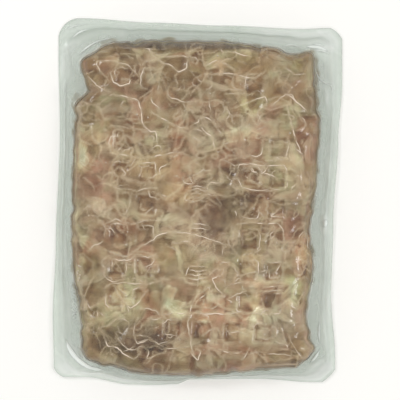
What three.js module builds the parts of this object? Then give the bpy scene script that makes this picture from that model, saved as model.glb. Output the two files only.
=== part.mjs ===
// A catering pack of pulled pork, lying flat: a pressed block of cooked pork vacuum-sealed between two
// webs of clear film. The deep web was formed round the block and faces up. The flat web is underneath, and
// the two are welded together in a flange that stands out all round.
//
// The bag is clear, shut and tight on what it holds, so it is one closed solid in its outer form: the block
// with its rounded shoulders, the square marks that the cooking rack pressed into it, the swellings of the
// chunks of meat, the steep wall down to the film, and the thin flange with its weld bead and slight curl.
//
// Millimetres. +Z is up, +Y runs along the length, and the origin is the middle of the underside.

import * as THREE from "three";
import { ParametricGeometry } from "three/addons/geometries/ParametricGeometry.js";
import { mergeGeometries, mergeVertices } from "three/addons/utils/BufferGeometryUtils.js";

// ---- driving sizes ---------------------------------------------------------------------------------------

// The film as cut, before it buckled: nominal half sizes, how far each corner is cut back, and how straight the
// cut is, where 0 is a round corner and 1 a straight one.
const FILM = {
  halfWidth: 100,
  halfLength: 127,
  radius: { topLeft: 13, topRight: 8, bottomRight: 9, bottomLeft: 7 },
  cut: { topLeft: 0.2, topRight: 0.6, bottomRight: 0.75, bottomLeft: 0.4 },
};
// The pork block's foot, where it meets the flange.
const BLOCK = {
  halfWidth: 85,
  halfLength: 117,
  radius: { topLeft: 6, topRight: 7, bottomRight: 13, bottomLeft: 14 },
  cut: { topLeft: 0.3, topRight: 0, bottomRight: 0.8, bottomLeft: 0.2 },
};

const BLOCK_TOP = 24; // height of the level part of the block
const BLOCK_FOOT = 1.8; // height at which the film leaves the block
const SHOULDER = 19; // how far in from its edge the block rounds over
const SHOULDER_POWER = 2.5; // 2 is a quarter circle, and more is squarer
const FLANGE_THICKNESS = 0.9; // two welded webs, with what they trap

// Each edge as it lies, bottom to top or left to right: [place along the edge, distance from the middle].
const FILM_EDGE = {
  left: [[-114, -102.6], [-84, -103.3], [-34, -101.2], [47, -98.3], [100, -99.3]],
  right: [[-109, 98.3], [-66, 95.5], [-10, 97], [47, 100.5], [86, 103.3]],
  bottom: [[-78, -125.3], [-45, -130.6], [-28, -131], [-13, -130.4], [-3, -127.2], [45, -126.7], [83, -129]],
  top: [[-83, 131], [-34, 127.8], [16, 125.7], [73, 123.2], [90, 124]],
};
const BLOCK_EDGE = {
  left: [
    [-103, -83], [-75, -84], [-45, -89], [-22, -90.3], [15, -89.8], [78, -87.8], [92, -79.2], [111, -84],
  ],
  right: [[-105, 84], [-94, 80], [-75, 78.2], [-45, 82.6], [-15, 80.6], [25, 85.5], [62, 87.8], [94, 83.6]],
  bottom: [[-68, -117], [-40, -123.5], [-15, -124.8], [8, -124.3], [30, -121.8], [50, -119.8], [73, -118.5]],
  top: [[-84, 103.5], [-59, 114], [-30, 115], [15, 114.8], [40, 112], [55, 110.3], [68, 105.2], [82, 108]],
};
// The film shows each chunk at the block's edge as a small bulge: [wavelength, depth] of three waves, which
// come and go over a longer one.
const EDGE_BULGES = { waves: [[31, 0.45], [17.3, 0.5], [9.9, 0.35]], comeAndGo: 83 };

// The rack that the pack was cooked on pressed square marks into it, in columns and rows that lie a little
// askew. A press of 1 is a full mark, and 0 is none.
const RACK = {
  pitch: [18.5, 22.1],
  middle: [0.4, -3.4],
  turn: THREE.MathUtils.degToRad(-2.2),
  halfMark: [6.4, 7.2],
  softness: 2.2,
  depth: 2.4,
  pillow: 0.5, // how much of the depth the meat fills again in the middle of a mark
  uneven: { press: 0.45, size: 0.16 }, // how much weaker and smaller a mark may be than its neighbours
  columnPress: { "-4": 0.1, "-3": 0.9, "-2": 1, "-1": 0.25, 0: 0.35, 1: 0.3, 2: 1, 3: 0.95, 4: 0.1 },
  rowPress: { "-5": 0.2, "-3": 0.85, "-2": 0.9, "-1": 1, 0: 1, 1: 1, 2: 0.7, 3: 0.3, 4: 0.6 },
};
// In one row, low on the block, the marks lie further apart.
const WIDE_ROW = { row: -4, pitch: 21.5, shift: 6.5, columnPress: { "-2": 0.3, "-1": 1, 0: 1.1, 1: 1.2, 2: 1.1 } };

// Chunks of meat under the film: rounded swellings and hollows, spread by a seeded draw.
const CHUNKS = { count: 90, radius: [8, 20], height: 1.5 };

// The flange's cross-section from the block's foot, 0, to the cut edge, 1: [share, height over its underside].
const FLANGE_PROFILE = [
  [0, BLOCK_FOOT], [0.1, 1.3], [0.3, 0.9], [0.5, 0.9], [0.62, 1.3], [0.74, 0.9], [1, 0.9],
];
// How the flange lifts off the table as it nears its cut edge: [waves round the pack, height, start].
const CURL = { starts: 0.3, base: 1.2, waves: [[2, 0.8, 0.9], [3, 0.7, 2.4], [7, 0.35, 0.6]] };

// The mesh: lines close together on the steep wall, and evenly spaced across the top.
const WALL_STEPS = [1.1, 3, 5.8, 9.4];
const TOP_STEP = 3.7;

// ---- small helpers ---------------------------------------------------------------------------------------

const { lerp, smoothstep } = THREE.MathUtils;

// A number from 0 to 1 that depends only on n.
function draw(n) {
  const wave = Math.sin(n * 12.9898) * 43758.5453;
  return wave - Math.floor(wave);
}

// A smooth line through [place, value] knots, level before the first and after the last: soft steps, added.
function through(knots, place) {
  let value = knots[0][1];
  for (let i = 1; i < knots.length; i++) {
    value += (knots[i][1] - knots[i - 1][1]) * smoothstep(place, knots[i - 1][0], knots[i][0]);
  }
  return value;
}

// How far an edge bulges at a place along it, where start tells one edge from another.
function bulge(shape, place, start) {
  if (shape !== BLOCK) return 0;
  const wave = (length, shift) => Math.sin((place / length + shift) * 2 * Math.PI);
  const depths = EDGE_BULGES.waves.map(([length, depth]) => depth * wave(length, start));
  return (0.6 + 0.4 * wave(EDGE_BULGES.comeAndGo, 3 * start)) * depths.reduce((sum, depth) => sum + depth);
}

// The place in the plan of (u, v), both from -1 to 1, in a rectangle with rounded corners and wandering
// edges. In each corner the square of the grid is bent to a quarter disc, or cut straight.
function inPlan(shape, edge, u, v) {
  const side = v > 0 ? (u < 0 ? "topLeft" : "topRight") : u < 0 ? "bottomLeft" : "bottomRight";
  const r = shape.radius[side];
  let x = Math.abs(u) * shape.halfWidth;
  let y = Math.abs(v) * shape.halfLength;
  const a = (x - shape.halfWidth + r) / r;
  const b = (y - shape.halfLength + r) / r;
  if (a > 0 && b > 0) {
    const cut = shape.cut[side];
    x = shape.halfWidth - r + r * a * lerp(Math.sqrt(1 - (b * b) / 2), 1 - b / 2, cut);
    y = shape.halfLength - r + r * b * lerp(Math.sqrt(1 - (a * a) / 2), 1 - a / 2, cut);
  }
  x *= Math.sign(u);
  y *= Math.sign(v);
  const left = through(edge.left, y) + bulge(shape, y, 0.1);
  const right = through(edge.right, y) + bulge(shape, y, 0.45);
  const bottom = through(edge.bottom, x) + bulge(shape, x, 0.7);
  const top = through(edge.top, x) + bulge(shape, x, 0.25);
  return new THREE.Vector2(
    lerp(left, right, (x / shape.halfWidth + 1) / 2),
    lerp(bottom, top, (y / shape.halfLength + 1) / 2),
  );
}

// The grid lines from -1 to 1 across a width of 2 * half.
function gridLines(half) {
  const inner = half - WALL_STEPS.at(-1);
  const count = Math.round((2 * inner) / TOP_STEP);
  const even = Array.from({ length: count + 1 }, (_, i) => lerp(-inner, inner, i / count) / half);
  const wall = [0, ...WALL_STEPS.slice(0, -1)].map((step) => 1 - step / half);
  return [...wall.map((line) => -line), ...even, ...wall.reverse()];
}

const ACROSS = gridLines(BLOCK.halfWidth);
const ALONG = gridLines(BLOCK.halfLength);

// ---- the block -------------------------------------------------------------------------------------------

// How deep the rack's marks are at a place. Each is a square with soft sides, and a pillow of meat in its
// middle.
function rackMark(x, y) {
  const middle = new THREE.Vector2(...RACK.middle);
  const place = new THREE.Vector2(x, y).sub(middle).rotateAround(new THREE.Vector2(), -RACK.turn);
  const row = Math.round(place.y / RACK.pitch[1]);
  const wide = row === WIDE_ROW.row;
  const [pitch, shift] = wide ? [WIDE_ROW.pitch, WIDE_ROW.shift] : [RACK.pitch[0], 0];
  const column = Math.round((place.x - shift) / pitch);
  const cell = 40 * column + 7 * row + 500;
  const weaker = 1 - RACK.uneven.press * draw(cell);
  const rowPress = wide ? WIDE_ROW.columnPress : RACK.columnPress;
  const press = (rowPress[column] ?? 0) * (wide ? 1 : RACK.rowPress[row] ?? 0) * weaker;
  const fromMiddle = [place.x - shift - column * pitch, place.y - row * RACK.pitch[1]];
  const inside = fromMiddle.map((d, axis) => {
    const half = RACK.halfMark[axis] * (1 - RACK.uneven.size * draw(cell + 2 + axis));
    return 1 - smoothstep(Math.abs(d), half - RACK.softness, half + RACK.softness);
  });
  const pillow = fromMiddle.map((d, axis) => 1 - smoothstep(Math.abs(d), 0, RACK.halfMark[axis] * 0.8));
  return RACK.depth * press * (inside[0] * inside[1] - RACK.pillow * pillow[0] * pillow[1]);
}

// How far the chunks of meat swell or sink the surface at a place.
function chunkSwell(x, y) {
  let swell = 0;
  for (let i = 0; i < CHUNKS.count; i++) {
    const radius = lerp(...CHUNKS.radius, draw(4 * i + 1));
    const dx = x - (2 * draw(4 * i + 2) - 1) * BLOCK.halfWidth;
    const dy = y - (2 * draw(4 * i + 3) - 1) * BLOCK.halfLength;
    const height = (2 * draw(4 * i + 4) - 1) * CHUNKS.height;
    swell += height * Math.exp(-(dx * dx + dy * dy) / (radius * radius));
  }
  return swell;
}

// The block's surface at (u, v): a shoulder that rises from the foot, then the relief on top.
function blockPoint(u, v) {
  const place = inPlan(BLOCK, BLOCK_EDGE, u, v);
  const fromSide = (1 - Math.abs(u)) * BLOCK.halfWidth;
  const fromEnd = (1 - Math.abs(v)) * BLOCK.halfLength;
  const fromEdge = (fromSide * fromEnd) / Math.max(Math.cbrt(fromSide ** 3 + fromEnd ** 3), 1e-6);
  const gone = 1 - Math.min(1, fromEdge / SHOULDER);
  const rise = (1 - gone ** SHOULDER_POWER) ** (1 / SHOULDER_POWER);
  const relief = chunkSwell(place.x, place.y) - rackMark(place.x, place.y);
  const height = lerp(BLOCK_FOOT, BLOCK_TOP, rise) + relief * smoothstep(fromEdge, 0, SHOULDER);
  return new THREE.Vector3(place.x, place.y, height);
}

// ---- the flange ------------------------------------------------------------------------------------------

// Once round the grid's border, anticlockwise from the bottom left corner.
const BORDER = [
  ...ACROSS.map((u) => [u, -1]),
  ...ALONG.slice(1).map((v) => [1, v]),
  ...ACROSS.slice(0, -1).reverse().map((u) => [u, 1]),
  ...ALONG.slice(0, -1).reverse().map((v) => [-1, v]),
];

// How far the flange has curled up off the table at a share of its width, as waves round the pack.
function curl(place, share) {
  const angle = Math.atan2(place.y / FILM.halfLength, place.x / FILM.halfWidth);
  const waves = CURL.waves.map(([count, height, start]) => height * Math.sin(count * angle + start));
  const lift = waves.reduce((sum, wave) => sum + wave, CURL.base);
  return Math.max(lift, 0.1) * smoothstep(share, CURL.starts, 1.2);
}

// The flange at one of the border's places, a share of the way out, at its underside or above it.
function flangePoint(step, share, height) {
  const [u, v] = BORDER[step];
  const foot = inPlan(BLOCK, BLOCK_EDGE, u, v);
  const place = foot.clone().lerp(inPlan(FILM, FILM_EDGE, u, v), share);
  return new THREE.Vector3(place.x, place.y, height + curl(place, share));
}

// ---- the solid -------------------------------------------------------------------------------------------

// A surface over a grid of columns by rows, where point gives the place of one crossing.
function surface(columns, rows, point) {
  const geometry = new ParametricGeometry(
    (s, t, target) => target.copy(point(Math.round(s * columns), Math.round(t * rows))),
    columns,
    rows,
  );
  geometry.deleteAttribute("normal");
  geometry.deleteAttribute("uv");
  return geometry;
}

function pouchGeometry() {
  const round = BORDER.length - 1;
  const last = FLANGE_PROFILE.length - 1;
  const underside = [CURL.starts, 0.65, 1];
  const top = surface(ACROSS.length - 1, ALONG.length - 1, (i, j) => blockPoint(ACROSS[i], ALONG[j]));
  const flangeTop = surface(round, last, (i, j) => flangePoint(i, ...FLANGE_PROFILE[last - j]));
  const cutEdge = surface(round, 1, (i, j) => flangePoint(i, 1, j ? FLANGE_THICKNESS : 0));
  const flangeUnder = surface(round, underside.length - 1, (i, j) => flangePoint(i, underside[j], 0));
  const restOutline = BORDER.slice(0, -1).map((_, i) => flangePoint(i, CURL.starts, 0));
  const restShape = new THREE.Shape(restOutline.map((point) => new THREE.Vector2(point.x, point.y)));
  const restFace = new THREE.ShapeGeometry(restShape);
  restFace.index.array.reverse(); // it faces down
  restFace.deleteAttribute("normal").deleteAttribute("uv");
  return mergeVertices(mergeGeometries([top, flangeTop, cutEdge, flangeUnder, restFace]), 1e-3);
}

const packedPork = new THREE.MeshStandardMaterial({ color: 0xa58b6c, roughness: 0.3, metalness: 0 });

const sealedPouch = new THREE.Mesh(pouchGeometry(), packedPork);
sealedPouch.name = "sealed_pouch";

const pack = new THREE.Group();
pack.add(sealedPouch);

export default pack;
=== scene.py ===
# %% [markdown]
# # A vacuum pack of pulled pork
#
# On a packing line, a forming machine warms a web of clear film and sucks it into a shallow mould. The
# pulled pork is pressed into the pocket, a flat web is laid over it, the air is drawn out and the two webs
# are welded together all round. Lying formed side up, the pack is a block of meat in tight, glossy film,
# with a thin pale flange round it. It was cooked on a rack, whose bars left rows of square marks in the
# meat.
#
# We make the contents and the film as separate pieces: the pressed block of pork, the formed web, the flat
# web, the pleats where the film gathers over the block, the folds on the flange, and the bubbles that the
# pump left. Everything is in metres in the part's own frame, and each size is written in millimetres first.

import bpy
import numpy as np
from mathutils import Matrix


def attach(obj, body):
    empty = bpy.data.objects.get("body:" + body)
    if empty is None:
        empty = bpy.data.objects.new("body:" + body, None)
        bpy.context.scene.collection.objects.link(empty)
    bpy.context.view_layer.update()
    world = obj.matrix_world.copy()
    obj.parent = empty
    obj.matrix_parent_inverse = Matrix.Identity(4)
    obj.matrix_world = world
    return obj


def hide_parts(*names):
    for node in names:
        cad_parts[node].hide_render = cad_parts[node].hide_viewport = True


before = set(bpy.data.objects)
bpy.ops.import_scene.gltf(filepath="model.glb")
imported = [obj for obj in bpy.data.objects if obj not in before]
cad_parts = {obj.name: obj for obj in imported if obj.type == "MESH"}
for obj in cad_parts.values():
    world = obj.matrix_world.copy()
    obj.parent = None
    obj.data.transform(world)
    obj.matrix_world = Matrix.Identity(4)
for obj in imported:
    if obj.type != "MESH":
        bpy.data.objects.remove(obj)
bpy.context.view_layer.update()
MM = 0.001

# %% [markdown]
# ## Small helpers for smooth shapes
#
# Nearly every form here is a sum of soft steps and soft noise over the plan of the pack. Each helper takes
# whole numpy arrays, so a surface of a hundred thousand points is worked out in one go.


# %% Soft steps and soft noise
def smoothstep(x, low, high):
    """0 below low, 1 above high, and 3 t squared minus 2 t cubed between them."""
    t = np.clip((x - low) / (high - low), 0, 1)
    return t * t * (3 - 2 * t)


def ridge(x, middle, half):
    """A soft ridge one high: the bell curve of the distance from its middle."""
    return np.exp(-(((x - middle) / half) ** 2))


def draw(n):
    """A number from 0 to 1 that depends only on n: the fraction left over from a large sine."""
    wave = np.sin(n * 12.9898) * 43758.5453
    return wave - np.floor(wave)


def soft_noise(x, y, size, seed):
    """Random values from -1 to 1 on a square lattice of the given size, joined by soft steps."""
    table = np.random.default_rng(seed).uniform(-1, 1, (64, 64))
    column, row = np.floor(x / size).astype(int), np.floor(y / size).astype(int)
    s, t = smoothstep(x / size - column, 0, 1), smoothstep(y / size - row, 0, 1)
    near = table[row % 64, column % 64] * (1 - s) + table[row % 64, (column + 1) % 64] * s
    far = table[(row + 1) % 64, column % 64] * (1 - s) + table[(row + 1) % 64, (column + 1) % 64] * s
    return near * (1 - t) + far * t


def rough_noise(x, y, size, seed):
    """Soft noise with two finer layers on it, each half as large and half as strong."""
    return sum(soft_noise(x, y, size / 2**k, seed + k) / 2**k for k in range(3)) / 1.75


def blurred(field, times):
    """Each point averaged with its neighbours along the rows and columns, over and over."""
    for _ in range(times):
        field = np.pad(field, 1, mode="edge")
        field = (field[1:-1, :-2] + 2 * field[1:-1, 1:-1] + field[1:-1, 2:]) / 4
        field = np.pad(field, 1, mode="edge")
        field = (field[:-2, 1:-1] + 2 * field[1:-1, 1:-1] + field[2:, 1:-1]) / 4
    return field


# %% [markdown]
# ## The form of the pack
#
# These are the part's own driving sizes. The block's plan is a rectangle with round corners whose edges
# wander a little, and (u, v) from -1 to 1 says where a point is in it. Using the same rules for every piece
# keeps the meat, the film and the flange exactly against each other.

# %% Named sizes of the block and the film, in millimetres
FILM_HALF, FILM_RADIUS = (100, 127), {"tl": 13, "tr": 8, "br": 9, "bl": 7}
BLOCK_HALF, BLOCK_RADIUS = (85, 117), {"tl": 6, "tr": 7, "br": 13, "bl": 14}
# How straight each corner is cut: 0 is round, 1 is straight.
FILM_CUT = {"tl": 0.2, "tr": 0.6, "br": 0.75, "bl": 0.4}
BLOCK_CUT = {"tl": 0.3, "tr": 0, "br": 0.8, "bl": 0.2}
BLOCK_TOP, BLOCK_FOOT = 24, 1.8
# How far in from the edge the shoulder reaches, and how square it is: a power of 2 is a quarter circle.
SHOULDER, SHOULDER_POWER = 19, 2.5
# The meat lies this far under the block's form, and the film at least the gap above the meat.
MEAT_BELOW, FILM_BELOW, FILM_GAP = 0.85, 0.3, 0.3
FILM_THICKNESS, FLAT_WEB_LEVEL, MEAT_FOOT = 0.18, 0.12, 0.5

# Where each edge lies, as (place along it, distance out).

FILM_EDGE = {
    "left": [(-114, -102.6), (-84, -103.3), (-34, -101.2), (47, -98.3), (100, -99.3)],
    "right": [(-109, 98.3), (-66, 95.5), (-10, 97), (47, 100.5), (86, 103.3)],
    "bottom": [
        (-78, -125.3), (-45, -130.6), (-28, -131), (-13, -130.4), (-3, -127.2), (45, -126.7),
        (83, -129),
    ],
    "top": [(-83, 131), (-34, 127.8), (16, 125.7), (73, 123.2), (90, 124)],
}
BLOCK_EDGE = {
    "left": [
        (-103, -83), (-75, -84), (-45, -89), (-22, -90.3), (15, -89.8), (78, -87.8), (92, -79.2),
        (111, -84),
    ],
    "right": [
        (-105, 84), (-94, 80), (-75, 78.2), (-45, 82.6), (-15, 80.6), (25, 85.5), (62, 87.8),
        (94, 83.6),
    ],
    "bottom": [
        (-68, -117), (-40, -123.5), (-15, -124.8), (8, -124.3), (30, -121.8), (50, -119.8),
        (73, -118.5),
    ],
    "top": [
        (-84, 103.5), (-59, 114), (-30, 115), (15, 114.8), (40, 112), (55, 110.3), (68, 105.2),
        (82, 108),
    ],
}
BULGE_WAVES = [(31, 0.45), (17.3, 0.5), (9.9, 0.35)]  # wavelength and height of the chunks along the edge
BULGE_COMES_AND_GOES = 83


# %% The plan: round corners and wandering edges
def through(knots, place):
    """A smooth line through (place, value) knots: the first value plus one soft step for each gap."""
    value = np.full_like(place, knots[0][1])
    for (start, low), (end, high) in zip(knots, knots[1:]):
        value += (high - low) * smoothstep(place, start, end)
    return value


def bulge(place, start):
    """How far the block's edge bulges: three sine waves that come and go over a longer one."""
    wave = lambda length, shift: np.sin((place / length + shift) * 2 * np.pi)
    depth = sum(height * wave(length, start) for length, height in BULGE_WAVES)
    return (0.6 + 0.4 * wave(BULGE_COMES_AND_GOES, 3 * start)) * depth


def edges_of(edge, x, y):
    """Where the left, right, bottom and top edges lie at a place. Only the block's edges bulge."""
    swell = bulge if edge is BLOCK_EDGE else lambda place, start: 0
    return (
        through(edge["left"], y) + swell(y, 0.1),
        through(edge["right"], y) + swell(y, 0.45),
        through(edge["bottom"], x) + swell(x, 0.7),
        through(edge["top"], x) + swell(x, 0.25),
    )


def at_corner(values, u, v):
    """The value of the corner that (u, v) is nearest to."""
    left, right = np.where(v > 0, values["tl"], values["bl"]), np.where(v > 0, values["tr"], values["br"])
    return np.where(u < 0, left, right)


def in_plan(half, radius, edge, u, v):
    """The plan's x and y at (u, v), in mm. Each corner is bent to a quarter disc or cut straight."""
    r, cut = at_corner(radius, u, v), at_corner(BLOCK_CUT if edge is BLOCK_EDGE else FILM_CUT, u, v)
    x, y = np.abs(u) * half[0], np.abs(v) * half[1]
    a, b = (x - half[0] + r) / r, (y - half[1] + r) / r
    corner = (a > 0) & (b > 0)
    bend_x = cut * (1 - b / 2) + (1 - cut) * np.sqrt(np.maximum(1 - b * b / 2, 0))
    bend_y = cut * (1 - a / 2) + (1 - cut) * np.sqrt(np.maximum(1 - a * a / 2, 0))
    x = np.where(corner, half[0] - r + r * a * bend_x, x) * np.sign(u)
    y = np.where(corner, half[1] - r + r * b * bend_y, y) * np.sign(v)
    across, along = (x / half[0] + 1) / 2, (y / half[1] + 1) / 2
    left, right, bottom, top = edges_of(edge, x, y)
    return left + (right - left) * across, bottom + (top - bottom) * along


def block_uv(x, y):
    """The (u, v) of a place on the block: the plan's rule turned round, in four rounds of correction."""
    u, v = x / BLOCK_HALF[0], y / BLOCK_HALF[1]
    for _ in range(4):
        left, right, bottom, top = edges_of(BLOCK_EDGE, u * BLOCK_HALF[0], v * BLOCK_HALF[1])
        u = np.clip(2 * (x - left) / (right - left) - 1, -1, 1)
        v = np.clip(2 * (y - bottom) / (top - bottom) - 1, -1, 1)
    return u, v


# %% [markdown]
# ## The block's relief
#
# The rack's bars pressed square marks into the meat in columns and rows that lie a little askew. Some
# columns are deep and the ones between are faint. Under them the chunks of meat swell and sink. The height
# of the block is the rounded shoulder plus this relief.

# %% The rack's marks and the swelling of the chunks
RACK_PITCH, RACK_MIDDLE, RACK_TURN = (18.5, 22.1), (0.4, -3.4), np.radians(-2.2)
MARK_HALF, MARK_SOFTNESS, MARK_DEPTH, MARK_PILLOW = (6.4, 7.2), 2.2, 2.4, 0.5
# How hard each column and row of the rack pressed: their product is a mark's depth.
COLUMN_PRESS = [0.1, 0.9, 1, 0.25, 0.35, 0.3, 1, 0.95, 0.1]  # columns -4 to 4
ROW_PRESS = [0.2, 0, 0.85, 0.9, 1, 1, 1, 0.7, 0.3, 0.6]  # rows -5 to 4
# In one row, low on the block, the marks lie further apart.
WIDE_ROW, WIDE_PITCH, WIDE_SHIFT, WIDE_PRESS = -4, 21.5, 6.5, [0, 0, 0.3, 1, 1.1, 1.2, 1.1, 0, 0]
SWELLINGS = 90


def rack_cell(x, y):
    """The number of the nearest mark, how strongly it is pressed, and the place within it."""
    dx, dy = x - RACK_MIDDLE[0], y - RACK_MIDDLE[1]
    px = dx * np.cos(-RACK_TURN) - dy * np.sin(-RACK_TURN)
    py = dx * np.sin(-RACK_TURN) + dy * np.cos(-RACK_TURN)
    row = np.round(py / RACK_PITCH[1])
    wide = row == WIDE_ROW
    pitch, shift = np.where(wide, WIDE_PITCH, RACK_PITCH[0]), np.where(wide, WIDE_SHIFT, 0)
    column = np.round((px - shift) / pitch)
    inside = (np.abs(column) <= 4) & (row >= -5) & (row <= 4)
    at_column, at_row = np.clip(column + 4, 0, 8).astype(int), np.clip(row + 5, 0, 9).astype(int)
    usual = np.array(COLUMN_PRESS)[at_column] * np.array(ROW_PRESS)[at_row]
    press = np.where(wide, np.array(WIDE_PRESS)[at_column], usual) * inside
    cell = 40 * column + 7 * row + 500
    press = press * (1 - 0.45 * draw(cell))
    return cell, press, px - shift - column * pitch, py - row * RACK_PITCH[1]


def rack_mark(x, y):
    """Depth of the marks: a square with soft sides, less a pillow of meat in its middle."""
    cell, press, px, py = rack_cell(x, y)
    square, pillow = 1.0, 1.0
    for axis, offset in enumerate((np.abs(px), np.abs(py))):
        half = MARK_HALF[axis] * (1 - 0.16 * draw(cell + 2 + axis))
        square = square * (1 - smoothstep(offset, half - MARK_SOFTNESS, half + MARK_SOFTNESS))
        pillow = pillow * (1 - smoothstep(offset, 0, MARK_HALF[axis] * 0.8))
    return MARK_DEPTH * press * (square - MARK_PILLOW * pillow)


def chunk_swell(x, y):
    """Many round swellings and hollows, each a bell curve of its own place, width and height."""
    swell = np.zeros_like(x)
    for i in range(SWELLINGS):
        radius = 8 + 12 * draw(4 * i + 1)
        dx = x - (2 * draw(4 * i + 2) - 1) * BLOCK_HALF[0]
        dy = y - (2 * draw(4 * i + 3) - 1) * BLOCK_HALF[1]
        swell += (2 * draw(4 * i + 4) - 1) * 1.5 * np.exp(-(dx * dx + dy * dy) / (radius * radius))
    return swell


def from_edge(u, v):
    """Distance in from the block's edge, in mm, with the corners rounded off."""
    side, end = (1 - np.abs(u)) * BLOCK_HALF[0], (1 - np.abs(v)) * BLOCK_HALF[1]
    return side * end / np.maximum(np.cbrt(side**3 + end**3), 1e-6)


def shoulder_rise(edge):
    """Share of the block's height at a distance in from its edge: (1 - (1 - edge / reach)^p)^(1 / p)."""
    gone = 1 - np.minimum(1, edge / SHOULDER)
    return (1 - gone**SHOULDER_POWER) ** (1 / SHOULDER_POWER)


def block_height(u, v, x, y):
    """Height of the block, in mm: a shoulder rising from the foot, then the relief."""
    edge = from_edge(u, v)
    relief = (chunk_swell(x, y) - rack_mark(x, y)) * smoothstep(edge, 0, SHOULDER)
    return BLOCK_FOOT + (BLOCK_TOP - BLOCK_FOOT) * shoulder_rise(edge) + relief


# %% [markdown]
# ## Turning arrays into meshes
#
# A surface is a grid of points with four-sided faces between them. Loose values for the materials, such as
# where shade is painted or a crease shows, go onto the mesh as attributes that the shader nodes read by name.


# %% Build a mesh from arrays
def grid_faces(columns, rows, start=0, flip=False):
    """The faces between the points of a grid, facing up, or down when flipped."""
    corner = start + np.arange(columns - 1)[None, :] + columns * np.arange(rows - 1)[:, None]
    faces = np.stack([corner, corner + 1, corner + columns + 1, corner + columns], axis=-1).reshape(-1, 4)
    return faces[:, ::-1] if flip else faces


def band_faces(lower, upper):
    """The faces between two closed rings of points that run anticlockwise, facing outwards."""
    return np.stack([lower, np.roll(lower, -1), np.roll(upper, -1), upper], axis=-1)


def bands_between(rings):
    """The faces between each ring of points and the next one out."""
    return [band_faces(outer, inner) for inner, outer in zip(rings, rings[1:])]


def border_of(columns, rows):
    """The indices of a grid's border, anticlockwise from its first point."""
    last = columns * (rows - 1)
    return np.concatenate([
        np.arange(columns),
        columns * np.arange(2, rows) - 1,
        np.arange(last + columns - 1, last - 1, -1),
        columns * np.arange(rows - 2, 0, -1),
    ])


def new_piece(name, points_mm, faces, values=None, colour=None, uv=None):
    """A smooth-shaded object from arrays. It rides with the part and stands for the sealed bag's solid."""
    mesh = bpy.data.meshes.new(name)
    mesh.vertices.add(len(points_mm))
    mesh.vertices.foreach_set("co", (np.asarray(points_mm) * MM).astype(np.float32).ravel())
    mesh.loops.add(faces.size)
    mesh.loops.foreach_set("vertex_index", faces.astype(np.int32).ravel())
    mesh.polygons.add(len(faces))
    mesh.polygons.foreach_set("loop_start", (np.arange(len(faces)) * faces.shape[1]).astype(np.int32))
    mesh.update(calc_edges=True)
    mesh.validate()
    mesh.shade_smooth()
    for key, value in (values or {}).items():
        layer = mesh.attributes.new(key, "FLOAT", "POINT")
        layer.data.foreach_set("value", np.asarray(value, dtype=np.float32).ravel())
    if colour is not None:
        layer = mesh.color_attributes.new("colour", "FLOAT_COLOR", "POINT")
        opaque = np.column_stack([colour, np.ones(len(colour))]).astype(np.float32)
        layer.data.foreach_set("color", opaque.ravel())
    if uv is not None:
        mesh.uv_layers.new(name="fibres").data.foreach_set("uv", uv[faces.ravel()].astype(np.float32).ravel())
    piece = bpy.data.objects.new(name, mesh)
    bpy.context.scene.collection.objects.link(piece)
    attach(piece, "root")
    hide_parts("sealed_pouch")
    print(f"{name}: {len(points_mm)} points, {len(faces)} faces")
    return piece


# %% [markdown]
# ## Colours and shader nodes
#
# Picture colours are sRGB. Light adds up in linear values, so one function turns every hex colour into linear
# before it is used or mixed.


# %% Colour and node helpers
def linear(hex_colour):
    """An sRGB hex colour as three linear values."""
    srgb = np.array([int(hex_colour[i : i + 2], 16) for i in (1, 3, 5)]) / 255
    return np.where(srgb <= 0.04045, srgb / 12.92, ((srgb + 0.055) / 1.055) ** 2.4)


def rgba(hex_colour):
    """The same as a tuple of four, for a colour socket."""
    return (*linear(hex_colour), 1.0)


def new_material(name):
    """A material with nodes, and its Principled shader."""
    material = bpy.data.materials.new(name)
    material.use_nodes = True
    return material, material.node_tree, material.node_tree.nodes["Principled BSDF"]


def add_node(tree, kind, inputs=None, **settings):
    """Add a node, apply its settings, and give each input a value or a link from another node's output."""
    node = tree.nodes.new(kind)
    for key, value in settings.items():
        setattr(node, key, value)
    for key, value in (inputs or {}).items():
        if isinstance(value, bpy.types.NodeSocket):
            tree.links.new(value, node.inputs[key])
        else:
            node.inputs[key].default_value = value
    return node


def mix_colours(tree, share, first, second, blend="MIX"):
    """A colour between two others."""
    values = {0: share, 6: first, 7: second}
    return add_node(tree, "ShaderNodeMix", values, data_type="RGBA", blend_type=blend).outputs[2]


def sums(tree, operation, first, second):
    """One sum with two numbers."""
    return add_node(tree, "ShaderNodeMath", {0: first, 1: second}, operation=operation).outputs[0]


# %% [markdown]
# ## A fine grid over the block
#
# The meat and the film over it are both heights on one grid of points. Everything that lies on the block,
# from the marks to the pleats, is first worked out on this grid.

# %% The grid, its distance from the edge and the block's plain height
STEP = 0.6
ACROSS = np.linspace(-1, 1, int(2 * BLOCK_HALF[0] / STEP) + 1)
ALONG = np.linspace(-1, 1, int(2 * BLOCK_HALF[1] / STEP) + 1)
# The wall is steep, so the lines crowd together near the edge, as the sine of an even row of angles does.
CROWDED = 1.56
ACROSS, ALONG = np.sin(ACROSS * CROWDED) / np.sin(CROWDED), np.sin(ALONG * CROWDED) / np.sin(CROWDED)
COLUMNS, ROWS = len(ACROSS), len(ALONG)
U, V = np.meshgrid(ACROSS, ALONG)
X, Y = in_plan(BLOCK_HALF, BLOCK_RADIUS, BLOCK_EDGE, U, V)
EDGE = from_edge(U, V)
HEIGHT = block_height(U, V, X, Y)

# %% [markdown]
# ## Where the film is pleated
#
# Vacuum pulls the film into every hollow. It has to gather somewhere, and it does so in thin standing
# pleats that catch the light as bright lines. They run round the rack's square marks, along the edges of
# chunks, and in a few long folds. We settle their paths first, because the meat under a pleat is drawn up
# with it. The pleats that catch the eye are placed one by one, and the small ones between them wander by
# chance.


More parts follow.
